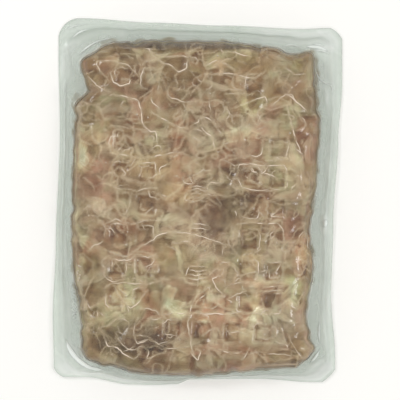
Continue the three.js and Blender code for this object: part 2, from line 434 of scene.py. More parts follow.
# %% A smooth curve through points
def smooth_path(points, spacing=0.8, slack=1.0):
    """A curve through the points with even steps: cubic pieces whose slopes follow the neighbours, pulled
    towards straight lines where slack is less than 1."""
    points = np.asarray(points, dtype=float)
    padded = np.concatenate([[2 * points[0] - points[1]], points, [2 * points[-1] - points[-2]]])
    t = np.linspace(0, 1, 12, endpoint=False)[:, None]
    curve = [
        0.5 * (2 * b + (c - a) * t + (2 * a - 5 * b + 4 * c - d) * t**2 + (3 * b - a - 3 * c + d) * t**3)
        for a, b, c, d in zip(padded, padded[1:], padded[2:], padded[3:])
    ]
    straight = [b + (c - b) * t for b, c in zip(points, points[1:])]
    curve = [slack * bent + (1 - slack) * line for bent, line in zip(curve, straight)]
    curve = np.concatenate([*curve, points[-1:]])
    length = np.concatenate([[0], np.cumsum(np.hypot(*np.diff(curve, axis=0).T))])
    even = np.linspace(0, length[-1], max(4, int(length[-1] / spacing)))
    return np.column_stack([np.interp(even, length, curve[:, axis]) for axis in (0, 1)])


# %% The long pleats
LONG_PLEATS = [
    [(-60, 34.4), (-51.5, 33), (-40.8, 30.9), (-29.5, 31.6), (-19.5, 34.4), (-10.3, 35.1)],
    [(-60, 75.6), (-43, 72.1), (-39.4, 62.8), (-38, 53.6), (-33.7, 50.1), (-28.8, 49.3)],
    [(-33, 63.5), (-26.6, 60), (-18.8, 55), (-12.4, 52.2), (-6.7, 51.5)],
    [
        (-46.5, -35.9), (-35.9, -29.5), (-25.9, -23.1), (-15.3, -21.7), (-1.8, -23.8), (11.7, -28),
        (23.8, -31.6),
    ],
    [(-25.9, -79.9), (-16, -78.5), (-5.3, -78.5), (18.8, -79.2), (35.9, -78.5), (47.9, -79.2)],
    [(8.9, -60), (0.4, -65.7), (-5.3, -75.6), (-6.7, -86.3), (-4.6, -99.8), (-1.8, -110.4)],
    [(-58.6, -59.3), (-53.6, -68.5), (-47.2, -75.6), (-40.8, -69.2), (-35.1, -62.8)],
    [(63.5, 67.1), (65.7, 56.4), (68.5, 46.5), (71.4, 38), (74.2, 29.5)],
    [(64.3, 39.4), (69.9, 36.6), (74.2, 33.7), (74.2, 29.5), (69.9, 26.6)],
    [(0.4, 60), (6.7, 59.3), (12.4, 55), (17.4, 46.5)],
    [(1.8, 53.6), (6, 47.9), (11, 45.1), (12.4, 36.6)],
    [
        (-67.1, -91.2), (-63.5, -101.9), (-56.4, -103.3), (-50.1, -109), (-45.1, -111.1),
        (-40.1, -106.9), (-42.2, -104.7),
    ],
    [
        (-57.9, -96.2), (-50.8, -102.6), (-45.8, -104.7), (-36.6, -103.3), (-34.4, -106.1),
        (-35.1, -111.1), (-22.4, -105.4),
    ],
    [(-42.2, -82.7), (-45.8, -91.2), (-42.2, -100.5), (-33.7, -97.6), (-28, -99.8)],
    [(-63.5, -38.7), (-68.5, -43.7), (-64.3, -47.2), (-66.4, -51.5), (-60.7, -55.7), (-52.2, -55)],
    [(-61.4, -40.1), (-55, -41.5), (-47.2, -40.1), (-42.2, -35.9), (-35.1, -39.4), (-29.5, -37.3)],
    [
        (62.1, 9.6), (63.5, 18.1), (61.4, 25.9), (46.5, 25.9), (30.2, 25.9), (28.8, 16.7),
        (30.9, 11), (37.3, 8.2), (56.4, 8.2),
    ],
    [(42.2, 16), (45.8, 20.9), (45.8, 25.2)],
    [(45.8, 20.9), (51.5, 19.5), (56.4, 16)],
    [(28, -16), (37.3, -15.3), (45.8, -16), (55.7, -16), (60.7, -20.2), (61.4, -30.2)],
    [(16, 29.5), (21.7, 27.3), (26.6, 25.2), (30.2, 26.6)],
    [(5.3, 96.2), (13.1, 99), (21.7, 96.2), (25.9, 92.7)],
    [(5.3, 89.8), (19.5, 90.5), (32.3, 88.4), (41.5, 87.7), (45.1, 90.5)],
    [(26.6, 66.4), (35.1, 70.6), (47.9, 73.5), (49.3, 69.2), (43.7, 65), (43, 60.7), (47.9, 55.7)],
    [(62.1, 76.3), (67.1, 72.8), (72.8, 67.8), (77.7, 63.5)],
    [(-70.6, 99), (-58.6, 99.8), (-52.2, 97.6), (-47.2, 94.8), (-40.1, 87.7)],
    [(-61.4, 91.2), (-59.3, 84.1), (-54.3, 81.3), (-47.9, 82.7), (-47.2, 85.6), (-53.6, 86.3)],
    [(-32.3, 104), (-26.6, 98.3), (-18.1, 95.5), (-13.8, 91.9), (-8.2, 94.1), (-6, 99.8), (-1.1, 100.5)],
]

# %% The short pleats
SHORT_PLEATS = [
    # Round the dark piece, low on the left.
    [(-45.8, -94.8), (-40.1, -94.1), (-34.4, -95.5), (-28.8, -99), (-23.1, -103.3)],
    [(-44.4, -100.5), (-40.1, -99), (-35.9, -97.6), (-31.6, -98.3)],
    [(-23.1, -103.3), (-16, -103.3), (-6.7, -102.6)],
    [(-24.5, -87.7), (-23.1, -93.4), (-17.4, -94.1), (-11.7, -96.2)],
    [(-4.6, -106.2), (-0.4, -111.9), (2.5, -106.2), (-1.1, -104.7)],
    [(-65, -60.7), (-60.4, -57.5), (-53.3, -56.8), (-45.8, -58.6), (-36.6, -57.9), (-27.3, -56.5)],
    [(-45.8, -75.6), (-61.4, -86.3), (-69.9, -89.8)],
    [(-40.1, -75.6), (-30.2, -76.3), (-27.3, -79.9)],
    # Top left.
    [(-77.8, 89.1), (-71.4, 82), (-61.4, 77.1)],
    [(-24.5, 86.3), (-20.3, 74.9), (-8.9, 70), (-1.8, 70.7)],
    [(-31.6, 105.5), (-23.1, 102.6), (-11.7, 103.3), (-1.8, 101.2)],
    [(-61.4, 53.6), (-47.2, 51.5), (-37.3, 50.8)],
    # Top right.
    [(16.7, 80.6), (26.6, 79.2), (33.7, 79.9), (33, 77), (19.5, 76.4)],
    [(62.1, 94.8), (69.2, 89.1), (76.3, 90.5)],
    [(52.2, 67.8), (60.7, 73.5), (64.9, 76.4)],
    # Left of the middle.
    [(-54.3, 23.8), (-50.1, 20.3), (-52.9, 18.1)],
    [(-27.3, 19.6), (-34.5, 16.7), (-33, 13.2)],
    [(-64.3, 12.5), (-55.8, 9.6), (-45.8, 8.2), (-28.8, 9.6)],
    [(-10.3, 16.7), (-8.9, 13.9), (-3.2, 12.5), (-6, 18.9)],
    [(-7.5, 8.2), (-8.9, 1.1), (3.9, -0.3)],
    [(-65.7, -15.9), (-57.2, -13.1), (-45.8, -15.9), (-34.5, -13.1), (-23.1, -12.4)],
    [(-65.7, -34.4), (-51.5, -38.7), (-41.6, -34.4), (-30.2, -38.7)],
    [(-74.2, 2.5), (-67.1, 1.1), (-64.3, -8.8), (-67.1, -10.3)],
    [(-17.4, -28.7), (-10.3, -28), (-4.6, -30.1)],
    # Right of the middle.
    [(59.3, -4.6), (51.5, -10.3), (59.3, -11)],
    [(45, -27.3), (49.3, -28), (55, -23)],
    [(69.2, -30.1), (72, -24.5), (77.7, -20.2)],
    # Bottom right.
    [
        (8.1, -52.2), (12.4, -48), (18.1, -48), (16.7, -52.2), (11, -55), (13.8, -60.7),
        (19.5, -67.8), (15.2, -66.4),
    ],
    [(18.8, -63.6), (20.9, -59.3), (35.1, -57.2)],
    [(46.5, -60.7), (60, -60)],
    [(45, -63.6), (59.3, -62.8)],
    [(-1.8, -73.5), (3.9, -66.4), (12.4, -62.1)],
    [(3.9, -94.8), (8.1, -90.5), (13.8, -89.1), (18.1, -96.2)],
    [(22.3, -93.4), (29.4, -92), (35.1, -94.8)],
    [(43.6, -96.2), (49.3, -97.6), (55.7, -94.8), (55, -87.7)],
    [(15.2, -104.7), (23.8, -106.2), (30.9, -106.2)],
    [(32.3, -107.6), (43.6, -106.2), (63.5, -109), (72, -109)],
    [(64.9, -94.8), (69.2, -104.7), (73.5, -110.4)],
    [(74.9, -65), (70.6, -74.9)],
]

# %% The pleats by the rack's marks
rng = np.random.default_rng(41)
paths = [(path, rng.uniform(0.8, 1.15)) for path in LONG_PLEATS]
paths += [(path, rng.uniform(0.65, 0.95)) for path in SHORT_PLEATS]

# Short parallel pleats between the two pairs of deep columns: middle, number, and spacing.
for (mx, my), number, gap in [((0, 5), 5, 2.6), ((1, -18), 2, 2.8), ((0, -50), 4, 2.7)]:
    for k in range(number):
        y = my - (k - (number - 1) / 2) * gap
        paths.append(([(mx - 6, y), (mx, y + rng.uniform(-0.4, 0.4)), (mx + 6.5, y)], 0.8))

# Round each deep mark: part of a square with soft corners, and often a second, smaller one inside it.
FAINT_MARK = 0.3
RACK_SPIN = np.array([[np.cos(RACK_TURN), -np.sin(RACK_TURN)], [np.sin(RACK_TURN), np.cos(RACK_TURN)]])
for column in range(-4, 5):
    for row in range(-5, 5):
        pitch, shift = (WIDE_PITCH, WIDE_SHIFT) if row == WIDE_ROW else (RACK_PITCH[0], 0)
        middle = RACK_SPIN @ [column * pitch + shift, row * RACK_PITCH[1]] + RACK_MIDDLE
        strength = rack_cell(np.array([middle[0]]), np.array([middle[1]]))[1][0]
        if strength < FAINT_MARK:
            continue
        for size, chance in ((1.02, 0.85), (0.6, 0.4)):
            if rng.random() > chance:
                continue
            angles = np.linspace(0, rng.uniform(0.15, 0.5) * 2 * np.pi, 9) + rng.uniform(0, 2 * np.pi)
            square = (np.abs(np.cos(angles)) ** 8 + np.abs(np.sin(angles)) ** 8) ** (-1 / 8)
            ring = np.column_stack([np.cos(angles) * MARK_HALF[0], np.sin(angles) * MARK_HALF[1]])
            ring = ring * square[:, None] * size + rng.normal(0, 0.35, (9, 2))
            paths.append((ring @ RACK_SPIN.T + middle, rng.uniform(0.55, 1.0)))

# %% Small wandering pleats over the rest of the block, and a kink or two in every pleat
WANDERING_PLEATS = 250
for _ in range(WANDERING_PLEATS):
    spot = rng.uniform(-1, 1, 2) * (BLOCK_HALF[0] - 9, BLOCK_HALF[1] - 9)
    heading, steps = rng.uniform(0, 2 * np.pi), rng.integers(2, 7)
    turns = heading + np.cumsum(rng.normal(0, 0.65, steps))
    strides = rng.uniform(1.6, 3.6, (steps, 1))
    walk = spot + np.cumsum(np.column_stack([np.cos(turns), np.sin(turns)]) * strides, axis=0)
    walk = np.clip(walk, [-BLOCK_HALF[0] + 5, -BLOCK_HALF[1] + 5], [BLOCK_HALF[0] - 5, BLOCK_HALF[1] - 9])
    paths.append((walk, rng.uniform(0.35, 0.9)))
paths = [(smooth_path(path, slack=0.35), size) for path, size in paths]


def kink(x, y, seed):
    """How far a pleat strays to one side at a place: a rough noise with a finer one on it."""
    return rough_noise(x, y, 7, seed) + 0.35 * rough_noise(x, y, 2.6, seed + 1)


for line, _ in paths:
    strays = np.stack([kink(*line.T, seed) for seed in (72, 76)], axis=-1)
    line += 1.4 * strays * np.sin(np.pi * np.linspace(0, 1, len(line)))[:, None] ** 0.3
print("pleats:", len(paths))


# %% How near each point of the block is to a pleat
def grid_window(low, high, margin):
    """The rows and columns of the grid round a box, with a margin in mm for how far the edges wander."""
    rows = slice(*np.searchsorted(ALONG * BLOCK_HALF[1], [low[1] - margin, high[1] + margin]))
    cols = slice(*np.searchsorted(ACROSS * BLOCK_HALF[0], [low[0] - margin, high[0] + margin]))
    return rows, cols


nearest = np.full(X.shape, 99.0)
for line, size in paths:
    rows, cols = grid_window(line.min(axis=0), line.max(axis=0), 12)
    away = np.hypot(X[rows, cols, None] - line[:, 0], Y[rows, cols, None] - line[:, 1]).min(axis=-1)
    nearest[rows, cols] = np.minimum(nearest[rows, cols], away / size)

# %% Long natural folds: the level lines of a bent noise, a fold wherever the noise is nearly zero
bent_x, bent_y = X + 7 * soft_noise(X, Y, 26, 31), Y + 7 * soft_noise(X, Y, 26, 32)


def level_line(hills):
    """Distance from the line where the hills are zero: their height over their steepness."""
    steepness = np.hypot(np.gradient(hills, axis=1), np.gradient(hills, axis=0)) / STEP
    return np.abs(hills) / np.maximum(steepness, 0.03)


fold_distance = level_line(soft_noise(bent_x, bent_y, 15, 33) + 0.45 * soft_noise(bent_x, bent_y, 7, 34))
fold_shown = smoothstep(soft_noise(X, Y, 19, 35), -0.15, 0.35) * smoothstep(EDGE, 1, 7)
crest = np.maximum(ridge(nearest, 0, 0.7), 0.8 * fold_shown * ridge(fold_distance, 0, 0.6))
flank = np.maximum(0.8 * ridge(nearest, 0, 2.4), fold_shown * ridge(fold_distance, 0, 2.6))
wrinkle_line = level_line(soft_noise(bent_x, bent_y, 6.5, 38) + 0.5 * soft_noise(bent_x, bent_y, 3.4, 39))
wrinkles = smoothstep(soft_noise(X, Y, 15, 40), 0.05, 0.5) * ridge(wrinkle_line, 0, 0.5)
broad_line = level_line(soft_noise(bent_x, bent_y, 27, 36) + 0.3 * soft_noise(bent_x, bent_y, 12, 37))
broad_fold = ridge(broad_line, 0, 4)

# %% [markdown]
# ## The pulled strips, pressed into the block
#
# Pulled pork is cooked until the muscle comes apart into strips along its fibres. Some of it stays together
# as chunks. In the pack the strips lie across the chunks and each other in all directions, pressed flat. We
# lay them one after another onto the grid: each is a long low hump with a ragged outline, and where it
# stands above what is there already it becomes the surface. Each point remembers its strip's colour, and
# how far along and across the strip it is, so the fibres can run the strip's own way.

# %% Chunks of meat: the cells round scattered seeds, with bent borders, each of its own tone
rng = np.random.default_rng(5)
PORK_TONES = [
    "#a8926b", "#a57f61", "#bcae86", "#8b7351", "#80644a", "#b0a077", "#b29073", "#9a825d", "#c2ae8f",
]
CHUNK_SPACING = (24, 22)
tones = np.array([linear(tone) for tone in PORK_TONES])
seeds = np.array([
    (x, y) for x in np.arange(-84, 85, CHUNK_SPACING[0]) for y in np.arange(-110, 111, CHUNK_SPACING[1])
])
seeds = seeds + rng.uniform(-11, 11, seeds.shape)
chunk_x, chunk_y = X + 10 * rough_noise(X, Y, 26, 13), Y + 10 * rough_noise(X, Y, 26, 14)
away = np.hypot(chunk_x[..., None] - seeds[:, 0], chunk_y[..., None] - seeds[:, 1])
nearest_two = np.argpartition(away, 2, axis=-1)[..., :2]
pair = np.take_along_axis(away, nearest_two, axis=-1)
swap = pair[..., 0] > pair[..., 1]
owner = np.where(swap, nearest_two[..., 1], nearest_two[..., 0])
other = np.where(swap, nearest_two[..., 0], nearest_two[..., 1])
from_border = np.abs(pair[..., 0] - pair[..., 1]) / 2
colour = tones[rng.integers(len(tones), size=len(seeds))][owner]

# Each chunk lies higher or lower than its neighbours and tilts its own way, so it overlaps some of them.
chunk_rise, chunk_tilt = rng.uniform(-0.8, 0.8, len(seeds)), rng.normal(0, 0.05, (len(seeds), 2))
from_seed = np.stack([X, Y], axis=-1) - seeds[owner]
chunk_layer = chunk_rise[owner] + (from_seed * chunk_tilt[owner]).sum(axis=-1)
on_upper_side = (chunk_rise[owner] > chunk_rise[other]).astype(float)
border_shown = smoothstep(soft_noise(X, Y, 13, 17), -0.2, 0.5)
# Where a border shows, the upper chunk's rim gets a painted highlight and the lower chunk's foot gets painted
# shade. Both also shape the relief a little.
lit_rim = border_shown * on_upper_side * ridge(from_border, 0.9, 0.45)
shaded_foot = border_shown * (1 - on_upper_side) * ridge(from_border, 0.7, 1.3)

# %% Lay the strips
layer = 0.4 * rough_noise(X, Y, 9, 3)
rim = np.zeros_like(X)
run, side = X.copy(), Y.copy()
ragged = [rough_noise(X, Y, 5, seed) for seed in (11, 12)]
torn = [rough_noise(X, Y, 12, seed) for seed in (15, 16)]

STRIPS = 260
for k in range(STRIPS):
    middle = rng.uniform(-1, 1, 2) * (BLOCK_HALF[0] + 3, BLOCK_HALF[1] + 3)
    turns = [rng.normal(0, 0.45), rng.normal(np.pi / 2, 0.4), rng.uniform(0, np.pi)]
    turn = rng.choice(turns, p=[0.45, 0.25, 0.3])
    half_length, half_width = rng.uniform(5, 20), rng.uniform(2, 6)
    bend, thickness, lie = rng.uniform(-0.015, 0.015), rng.uniform(0.4, 1.3), k / STRIPS * 0.4
    tone, own = tones[rng.integers(len(tones))] * rng.uniform(0.92, 1.08), rng.uniform(0.2, 0.75)
    rows, cols = grid_window(middle, middle, half_length + 10)
    dx, dy = X[rows, cols] - middle[0], Y[rows, cols] - middle[1]
    s = dx * np.cos(turn) + dy * np.sin(turn) + 1.6 * ragged[0][rows, cols] + 4 * torn[0][rows, cols]
    t = -dx * np.sin(turn) + dy * np.cos(turn) + bend * s * s
    t = t + 1.2 * ragged[1][rows, cols] + 3 * torn[1][rows, cols]
    hump = np.clip(1 - np.abs(s / half_length) ** 3 - np.abs(t / half_width) ** 2.2, 0, 1) ** 0.6
    height = lie + thickness * hump
    on_top = (hump > 0) & (height > layer[rows, cols])
    for field, value in ((layer, height), (rim, hump), (run, s + 7 * k), (side, t + 3 * k)):
        field[rows, cols][on_top] = value[on_top]
    colour[rows, cols][on_top] = colour[rows, cols][on_top] * (1 - own) + tone * own

# %% Lumps of fat press up between the strips, each a low ragged dome: middle, half sizes and turn
FAT = [
    (-82, 32, 3.5, 8, 0.1), (68, -66, 4, 10, 0.05), (-19, -74, 5, 9, 0.6), (8, 11, 4, 6, 0.7),
    (56, 98, 4, 8, -0.5), (-27, -59, 3.2, 6, 0.2), (40, -81, 7, 3.5, 0.4), (-84, 12, 2.4, 6, 0),
    (44, -52, 5, 3, 0.3), (-8, 62, 5, 3.2, 1.0), (33, 52, 9, 3, 0.2), (-60, -70, 4, 3, 0.9),
    (-33, 44, 7, 4, 0.3), (-48, 67, 4, 2.5, 0.5), (12, -68, 9, 3, 0.1),
]
CRUMBS_OF_FAT = 60
FAT += [
    (*(rng.uniform(-1, 1, 2) * (76, 106)), *rng.uniform(0.8, 2.6, 2), rng.uniform(0, 3))
    for _ in range(CRUMBS_OF_FAT)
]
fatty = np.zeros_like(X)
for x, y, half_x, half_y, turn in FAT:
    s = (X - x) * np.cos(turn) + (Y - y) * np.sin(turn)
    t = -(X - x) * np.sin(turn) + (Y - y) * np.cos(turn)
    reach = np.hypot(s / half_x, t / half_y) + 0.3 * ragged[0] + 0.25 * ragged[1]
    fatty = np.maximum(fatty, 1 - smoothstep(reach, 0.4, 1.2))
strip_step = layer - blurred(layer, 2)  # above 0 just inside a strip's border, and below 0 just outside
layer = blurred(layer + chunk_layer - 0.4 * shaded_foot + 0.25 * fatty, 8)


def laid_over(under, over, share):
    """A colour laid over another, with a share from 0 to 1 at each point."""
    return under * (1 - share[..., None]) + over * share[..., None]


fat_tone = linear("#b6ac8e") * np.exp(0.18 * rough_noise(X, Y, 3, 19))[..., None]
colour = laid_over(colour, fat_tone, 0.75 * fatty)
print("chunks:", len(seeds), "strips:", STRIPS)

# %% Soften the borders between tones, and let lightness and hue drift over the block
REDDER, WARMER = np.array([0.05, -0.05, -0.015]), np.array([0.02, -0.02, 0.0])


def softened(tones, times):
    """A colour on the grid, blurred channel by channel."""
    return np.stack([blurred(tones[..., channel], times) for channel in range(3)], axis=-1)


colour = softened(colour, 3)
lightness = 0.16 * rough_noise(X, Y, 30, 51) + 0.12 * rough_noise(X, Y, 7, 55)
lightness += 0.4 * rough_noise(X, Y, 8, 58) * (1 - smoothstep(EDGE, 4, 12))
warmth = rough_noise(X, Y, 34, 61)
colour = colour * np.exp(lightness[..., None] + warmth[..., None] * WARMER)
blush = smoothstep(rough_noise(X, Y, 9, 62), -0.12, 0.16) - 0.5 + 0.8 * rough_noise(X, Y, 4.5, 66)
colour = colour * np.exp(blush[..., None] * REDDER)
veil = 0.34 * smoothstep(rough_noise(X, Y, 11, 57), 0.05, 0.6)
colour = laid_over(colour, linear("#c0bb9a"), veil)

# %% [markdown]
# ## Fat, dark meat and painted shade
#
# The tone of the meat drifts over the block: brown muscle, a dark purple-brown piece from near the bone,
# pale cooked surfaces, and yellowish fat. Each named patch is an ellipse with a ragged edge that makes the
# strips under it lighter or darker and shifts their hue, in proportion to its own tone over the mean tone.
# Painted shade darkens the gaps between strips and, in patches, the block's wall.

# %% Named patches of colour: middle, half sizes and turn in mm and degrees, and the tone there
MEAN_TONE = "#a28e73"
PATCHES = [
    ("dark purple piece by the bone", (9, -12), (11, 14), -20, "#6f5850"),
    ("dark brown piece beside it", (26, -5), (17, 12), 20, "#71604c"),
    ("red-brown slit", (44, 6), (11, 4), -8, "#765540"),
    ("dark piece, low left", (-48, -98), (30, 12), 5, "#6e6051"),
    ("its darkest end", (-32, -99), (9, 8), 0, "#8a786a"),
    ("tan cooked face", (-32, 26), (28, 13), 0, "#b19a77"),
    ("orange edge of the tan face", (-14, 6), (11, 9), 0, "#b9a07b"),
    ("pale pressed band", (-5, -17), (8, 24), 4, "#ad967a"),
    ("pale hump above the marks", (8, 46), (15, 8), 10, "#a18c73"),
    ("pale fold", (30, 47), (15, 6), 0, "#bcae8c"),
    ("pink chunk at the left edge", (-79, 9), (10, 11), 10, "#8c6b58"),
    ("pale pink face below it", (-68, -2), (9, 8), 0, "#b79e84"),
    ("fat, upper left", (-32, 42), (10, 7), 0, "#b8aa84"),
    ("olive hollow, upper middle", (-15, 76), (11, 12), 0, "#8b7a5a"),
    ("red-brown strip below the fold", (-12, 43), (11, 5), -15, "#95765a"),
    ("pale face, upper middle", (35, 67), (9, 7), 0, "#b7a384"),
    ("pink spot", (52, 64), (8, 6), 0, "#9c7f68"),
    ("olive face, upper right", (38, 70), (10, 9), 0, "#a79776"),
    ("brown field, top right", (62, 78), (17, 8), 10, "#947b5a"),
    ("brown field, top", (38, 98), (20, 9), 0, "#957a58"),
    ("pink spot, top", (15, 96), (6, 7), 0, "#b39376"),
    ("olive corner, top right", (68, 98), (10, 10), 0, "#9c8c6a"),
    ("red-brown spot, right", (72, 48), (9, 6), 0, "#957961"),
    ("red-brown edge, right", (70, -16), (6, 9), 0, "#86664f"),
    ("orange edge, right", (75, -35), (6, 14), 0, "#b0926e"),
    ("pale olive face, right", (60, 18), (14, 9), 0, "#aa9777"),
    ("fat at the right edge", (68, -62), (7, 14), 0, "#b6a982"),
    ("fat, low middle", (-16, -73), (9, 12), 15, "#bbae8b"),
    ("cream field, low", (16, -76), (25, 12), 0, "#b8a687"),
    ("cream spot", (40, -80), (8, 6), 0, "#bdad8c"),
    ("red-brown strip, low left", (-36, -66), (5, 13), 15, "#9b785c"),
    ("cream face, low left", (-51, -70), (14, 11), 0, "#b1a183"),
    ("dark edge, left", (-74, -46), (6, 11), 0, "#83704f"),
    ("pink-brown field, left", (-58, -21), (20, 8), 0, "#957960"),
    ("pink-grey field", (20, -54), (14, 8), -20, "#a88c75"),
    ("dark bottom edge", (-24, -118), (24, 5), 0, "#7f694c"),
    ("brown edge, bottom right", (48, -105), (22, 4), 0, "#93795e"),
    ("brown corner, bottom right", (71, -98), (8, 10), 0, "#87714f"),
    ("dark band along the top", (-10, 113), (64, 6), 0, "#4c3f29"),
    ("dark corner, top left", (-78, 96), (5, 9), -20, "#826c4a"),
    ("dark hollow, top left", (-54, 107), (10, 4), 0, "#7d6a4e"),
    ("brown edge, upper left", (-76, 70), (8, 15), 0, "#8c7a5c"),
    ("green-white fat, left edge", (-83, 32), (7, 11), 0, "#b6b090"),
    ("brown muscle, top left", (-60, 84), (24, 13), -5, "#8e7960"),
    ("brown muscle right of the bone", (25, 20), (9, 13), 0, "#85725c"),
    ("red-brown muscle right of it", (44, -3), (13, 8), 0, "#9f856a"),
    ("brown spot left of the tan face", (-46, 17), (10, 9), 0, "#988068"),
    ("brown spot in the left marks", (-44, -22), (8, 7), 0, "#917b64"),
    ("pale seam, left", (-66, 41), (9, 9), 0, "#baa687"),
    ("pale seam between the left marks", (-33, -10), (19, 7), 0, "#b3a285"),
    ("pink strip, middle", (-5, -7), (10, 8), 0, "#8a755f"),
    ("pale face, right", (70, 29), (8, 7), 0, "#b4a082"),
    ("pale face in the low right marks", (47, -61), (12, 9), 0, "#b9a386"),
    ("pale seam, right", (37, -44), (8, 9), 0, "#b8a386"),
    ("pale face over the bottom marks", (36, -88), (14, 9), 0, "#b1a084"),
    ("cream seam, low right", (42, -72), (12, 6), 0, "#bda98b"),
    ("pale hump, low middle", (2, -87), (8, 6), 0, "#b3a083"),
    ("pale arched fold, left", (-28, -36), (20, 10), 0, "#b6a184"),
    ("brown hollow under the arched fold", (20, -34), (12, 7), 0, "#807059"),
    ("brown hollow in the low right marks", (49, -49), (7, 6), 0, "#8a7761"),
    ("brown seam, upper left", (-58, 66), (15, 7), -8, "#8c7862"),
    ("brown seam, upper middle", (-18, 67), (10, 6), 0, "#917c65"),
    ("brown seam, middle", (1, 54), (9, 6), 0, "#8f7a62"),
    ("brown edge below the pink chunk", (-79, -12), (7, 14), 0, "#907860"),
    ("brown mark, low left", (-66, -48), (8, 7), 0, "#8d7d66"),
    ("brown edge, low left", (-70, -96), (9, 10), 0, "#85745b"),
    ("brown bottom of the low left piece", (-45, -109), (22, 8), 0, "#7d6b53"),
    ("brown edge, upper right", (80, 68), (8, 13), 0, "#826f58"),
    ("brown face, right", (70, -3), (8, 8), 0, "#927e66"),
    ("brown face, bottom right", (60, -92), (15, 9), 0, "#948069"),
    ("olive strip, bottom", (24, -113), (20, 5), 0, "#93846b"),
    ("pale face, low middle", (-6, -58), (17, 9), 0, "#bba98c"),
    ("dark flap, top right", (77, 104), (8, 5), -30, "#7c6748"),
    ("dark slit, bottom right", (63, -115), (13, 2.5), 4, "#6c5e42"),
]
TINT_STRENGTH, HUE_STRENGTH = 1.3, 0.8


def tinted(colour):
    """Each patch scales the colour by its own tone over the mean tone, so what lies under it still shows. The
    lightness changes by a power of the scale's mean, and the hue by a lower power of the rest."""
    for name, middle, half, turn, tone in PATCHES:
        dx, dy = X - middle[0], Y - middle[1]
        turn = np.radians(turn)
        s, t = dx * np.cos(turn) + dy * np.sin(turn), -dx * np.sin(turn) + dy * np.cos(turn)
        reach = np.hypot(s / half[0], t / half[1]) + 0.28 * ragged[0] + 0.18 * ragged[1] + 0.25 * torn[0]
        share = (1 - smoothstep(reach, 0.5, 1.25))[..., None]
        scale = linear(tone) / linear(MEAN_TONE)
        lighter = np.exp(np.log(scale).mean())
        colour = colour * lighter ** (TINT_STRENGTH * share) * (scale / lighter) ** (HUE_STRENGTH * share)
    return colour


# %% Painted shade: in patches down the wall, most at the bottom left, and between the strips; painted shade inside the sides of the rack's marks, and a painted highlight just outside them
wall_patch = smoothstep(rough_noise(X, Y, 11, 18), -0.2, 0.25)
wall_shade = (1 - smoothstep(EDGE, 0.5, 5)) * (0.1 + 1.1 * wall_patch)
bottom_left = smoothstep(-Y, 100, 112) * smoothstep(-X, -30, 10)
wall_shade = np.maximum(wall_shade, 0.9 * bottom_left * (1 - smoothstep(EDGE, 2, 8)))
gap_shade = np.clip((1 - smoothstep(rim, 0.05, 0.6)) * (0.35 + 0.65 * smoothstep(ragged[1], -0.4, 0.5)), 0, 1)
cell, press, px, py = rack_cell(X, Y)
mark_half = [MARK_HALF[axis] * (1 - 0.16 * draw(cell + 2 + axis)) for axis in (0, 1)]
past_side = np.maximum(np.abs(px) - mark_half[0], np.abs(py) - mark_half[1]) + 0.5 * ragged[0]
mark_side_shade = press * smoothstep(soft_noise(X, Y, 8, 19), -0.5, 0.3) * ridge(past_side, -1.1, 0.9)
mark_rim_highlight = press * smoothstep(soft_noise(X, Y, 8, 20), -0.4, 0.4) * ridge(past_side, 0.5, 0.7)

# %% [markdown]
# ## The pork block
#
# The strips only roughen the pressed block by about a millimetre. What is wider than a chunk stays as the
# block's own relief, so we take the strips' average over a centimetre away and keep the rest, and on a few
# smooth faces only a part of that. The meat lies a fraction of a millimetre under the film. It is closed
# underneath, where it was pressed against the flat web.

# %% Smooth faces, where the meat was cut or pressed flat: middle, half sizes and how smooth each is
SMOOTH_FACES = [
    ((-34, 14), (27, 26), 0.9), ((11, -12), (12, 18), 0.6), ((42, -2), (15, 12), 0.5),
    ((-78, 6), (9, 13), 0.8), ((60, 82), (18, 12), 0.5), ((-55, 92), (24, 10), 0.4),
    ((20, -52), (14, 9), 0.6), ((-6, -20), (9, 22), 0.6), ((46, 96), (14, 7), 0.5),
    ((8, 46), (14, 7), 0.5), ((-60, 20), (8, 26), 0.5), ((36, -92), (26, 7), 0.4),
]
smooth_face = np.zeros_like(X)
for middle, half, share in SMOOTH_FACES:
    reach = np.hypot((X - middle[0]) / half[0], (Y - middle[1]) / half[1]) + 0.3 * ragged[0] + 0.2 * ragged[1]
    smooth_face = np.maximum(smooth_face, share * (1 - smoothstep(reach, 0.6, 1.2)))

# %% The relief of the strips, the chunks and the folds
strip_relief = 0.58 * (layer - blurred(layer, 250)) * smoothstep(EDGE, 0, 6) * (1 - 0.75 * smooth_face)
pleat_relief = 0.25 * np.maximum(crest, lit_rim) + 0.12 * flank + 0.4 * broad_fold + 0.12 * wrinkles
pleat_relief = pleat_relief * smoothstep(EDGE, 0, 5)
rough_top = HEIGHT + strip_relief + pleat_relief
meat_top = rough_top - MEAT_BELOW
film_top = np.maximum(blurred(rough_top, 3) - FILM_BELOW, meat_top + FILM_GAP)
film_top = np.where(EDGE < 1e-6, HEIGHT, film_top)
print("relief of the strips, mm:", strip_relief.min().round(2), "to", strip_relief.max().round(2))

# %% Painted shade in the hollows, and painted highlights on the crests
level_part = smoothstep(EDGE, 1, 6)
colour = laid_over(colour, softened(colour, 120), 0.75 * smooth_face)
bare_relief = strip_relief + pleat_relief - 0.45 * rack_mark(X, Y) * level_part
HOLLOW_SHADE_TAKES = np.array([0.27, 0.32, 0.37])  # the share of red, green and blue light that a hollow loses
# We compare the relief with itself blurred over broad, middling and fine distances, and look for the hollows
# and crests of each: how often it is blurred, and the depth and the height in mm that count in full.
for times, full_depth, full_height in ((190, 1.4, 1.4), (30, 0.7, 0.8), (6, 0.2, 0.25)):
    sunk = blurred(bare_relief, times) - bare_relief
    colour = colour * (1 - (level_part * smoothstep(sunk, 0, full_depth))[..., None] * HOLLOW_SHADE_TAKES)
    colour = laid_over(colour, linear("#cfba94"), 0.22 * level_part * smoothstep(-sunk, 0, full_height))
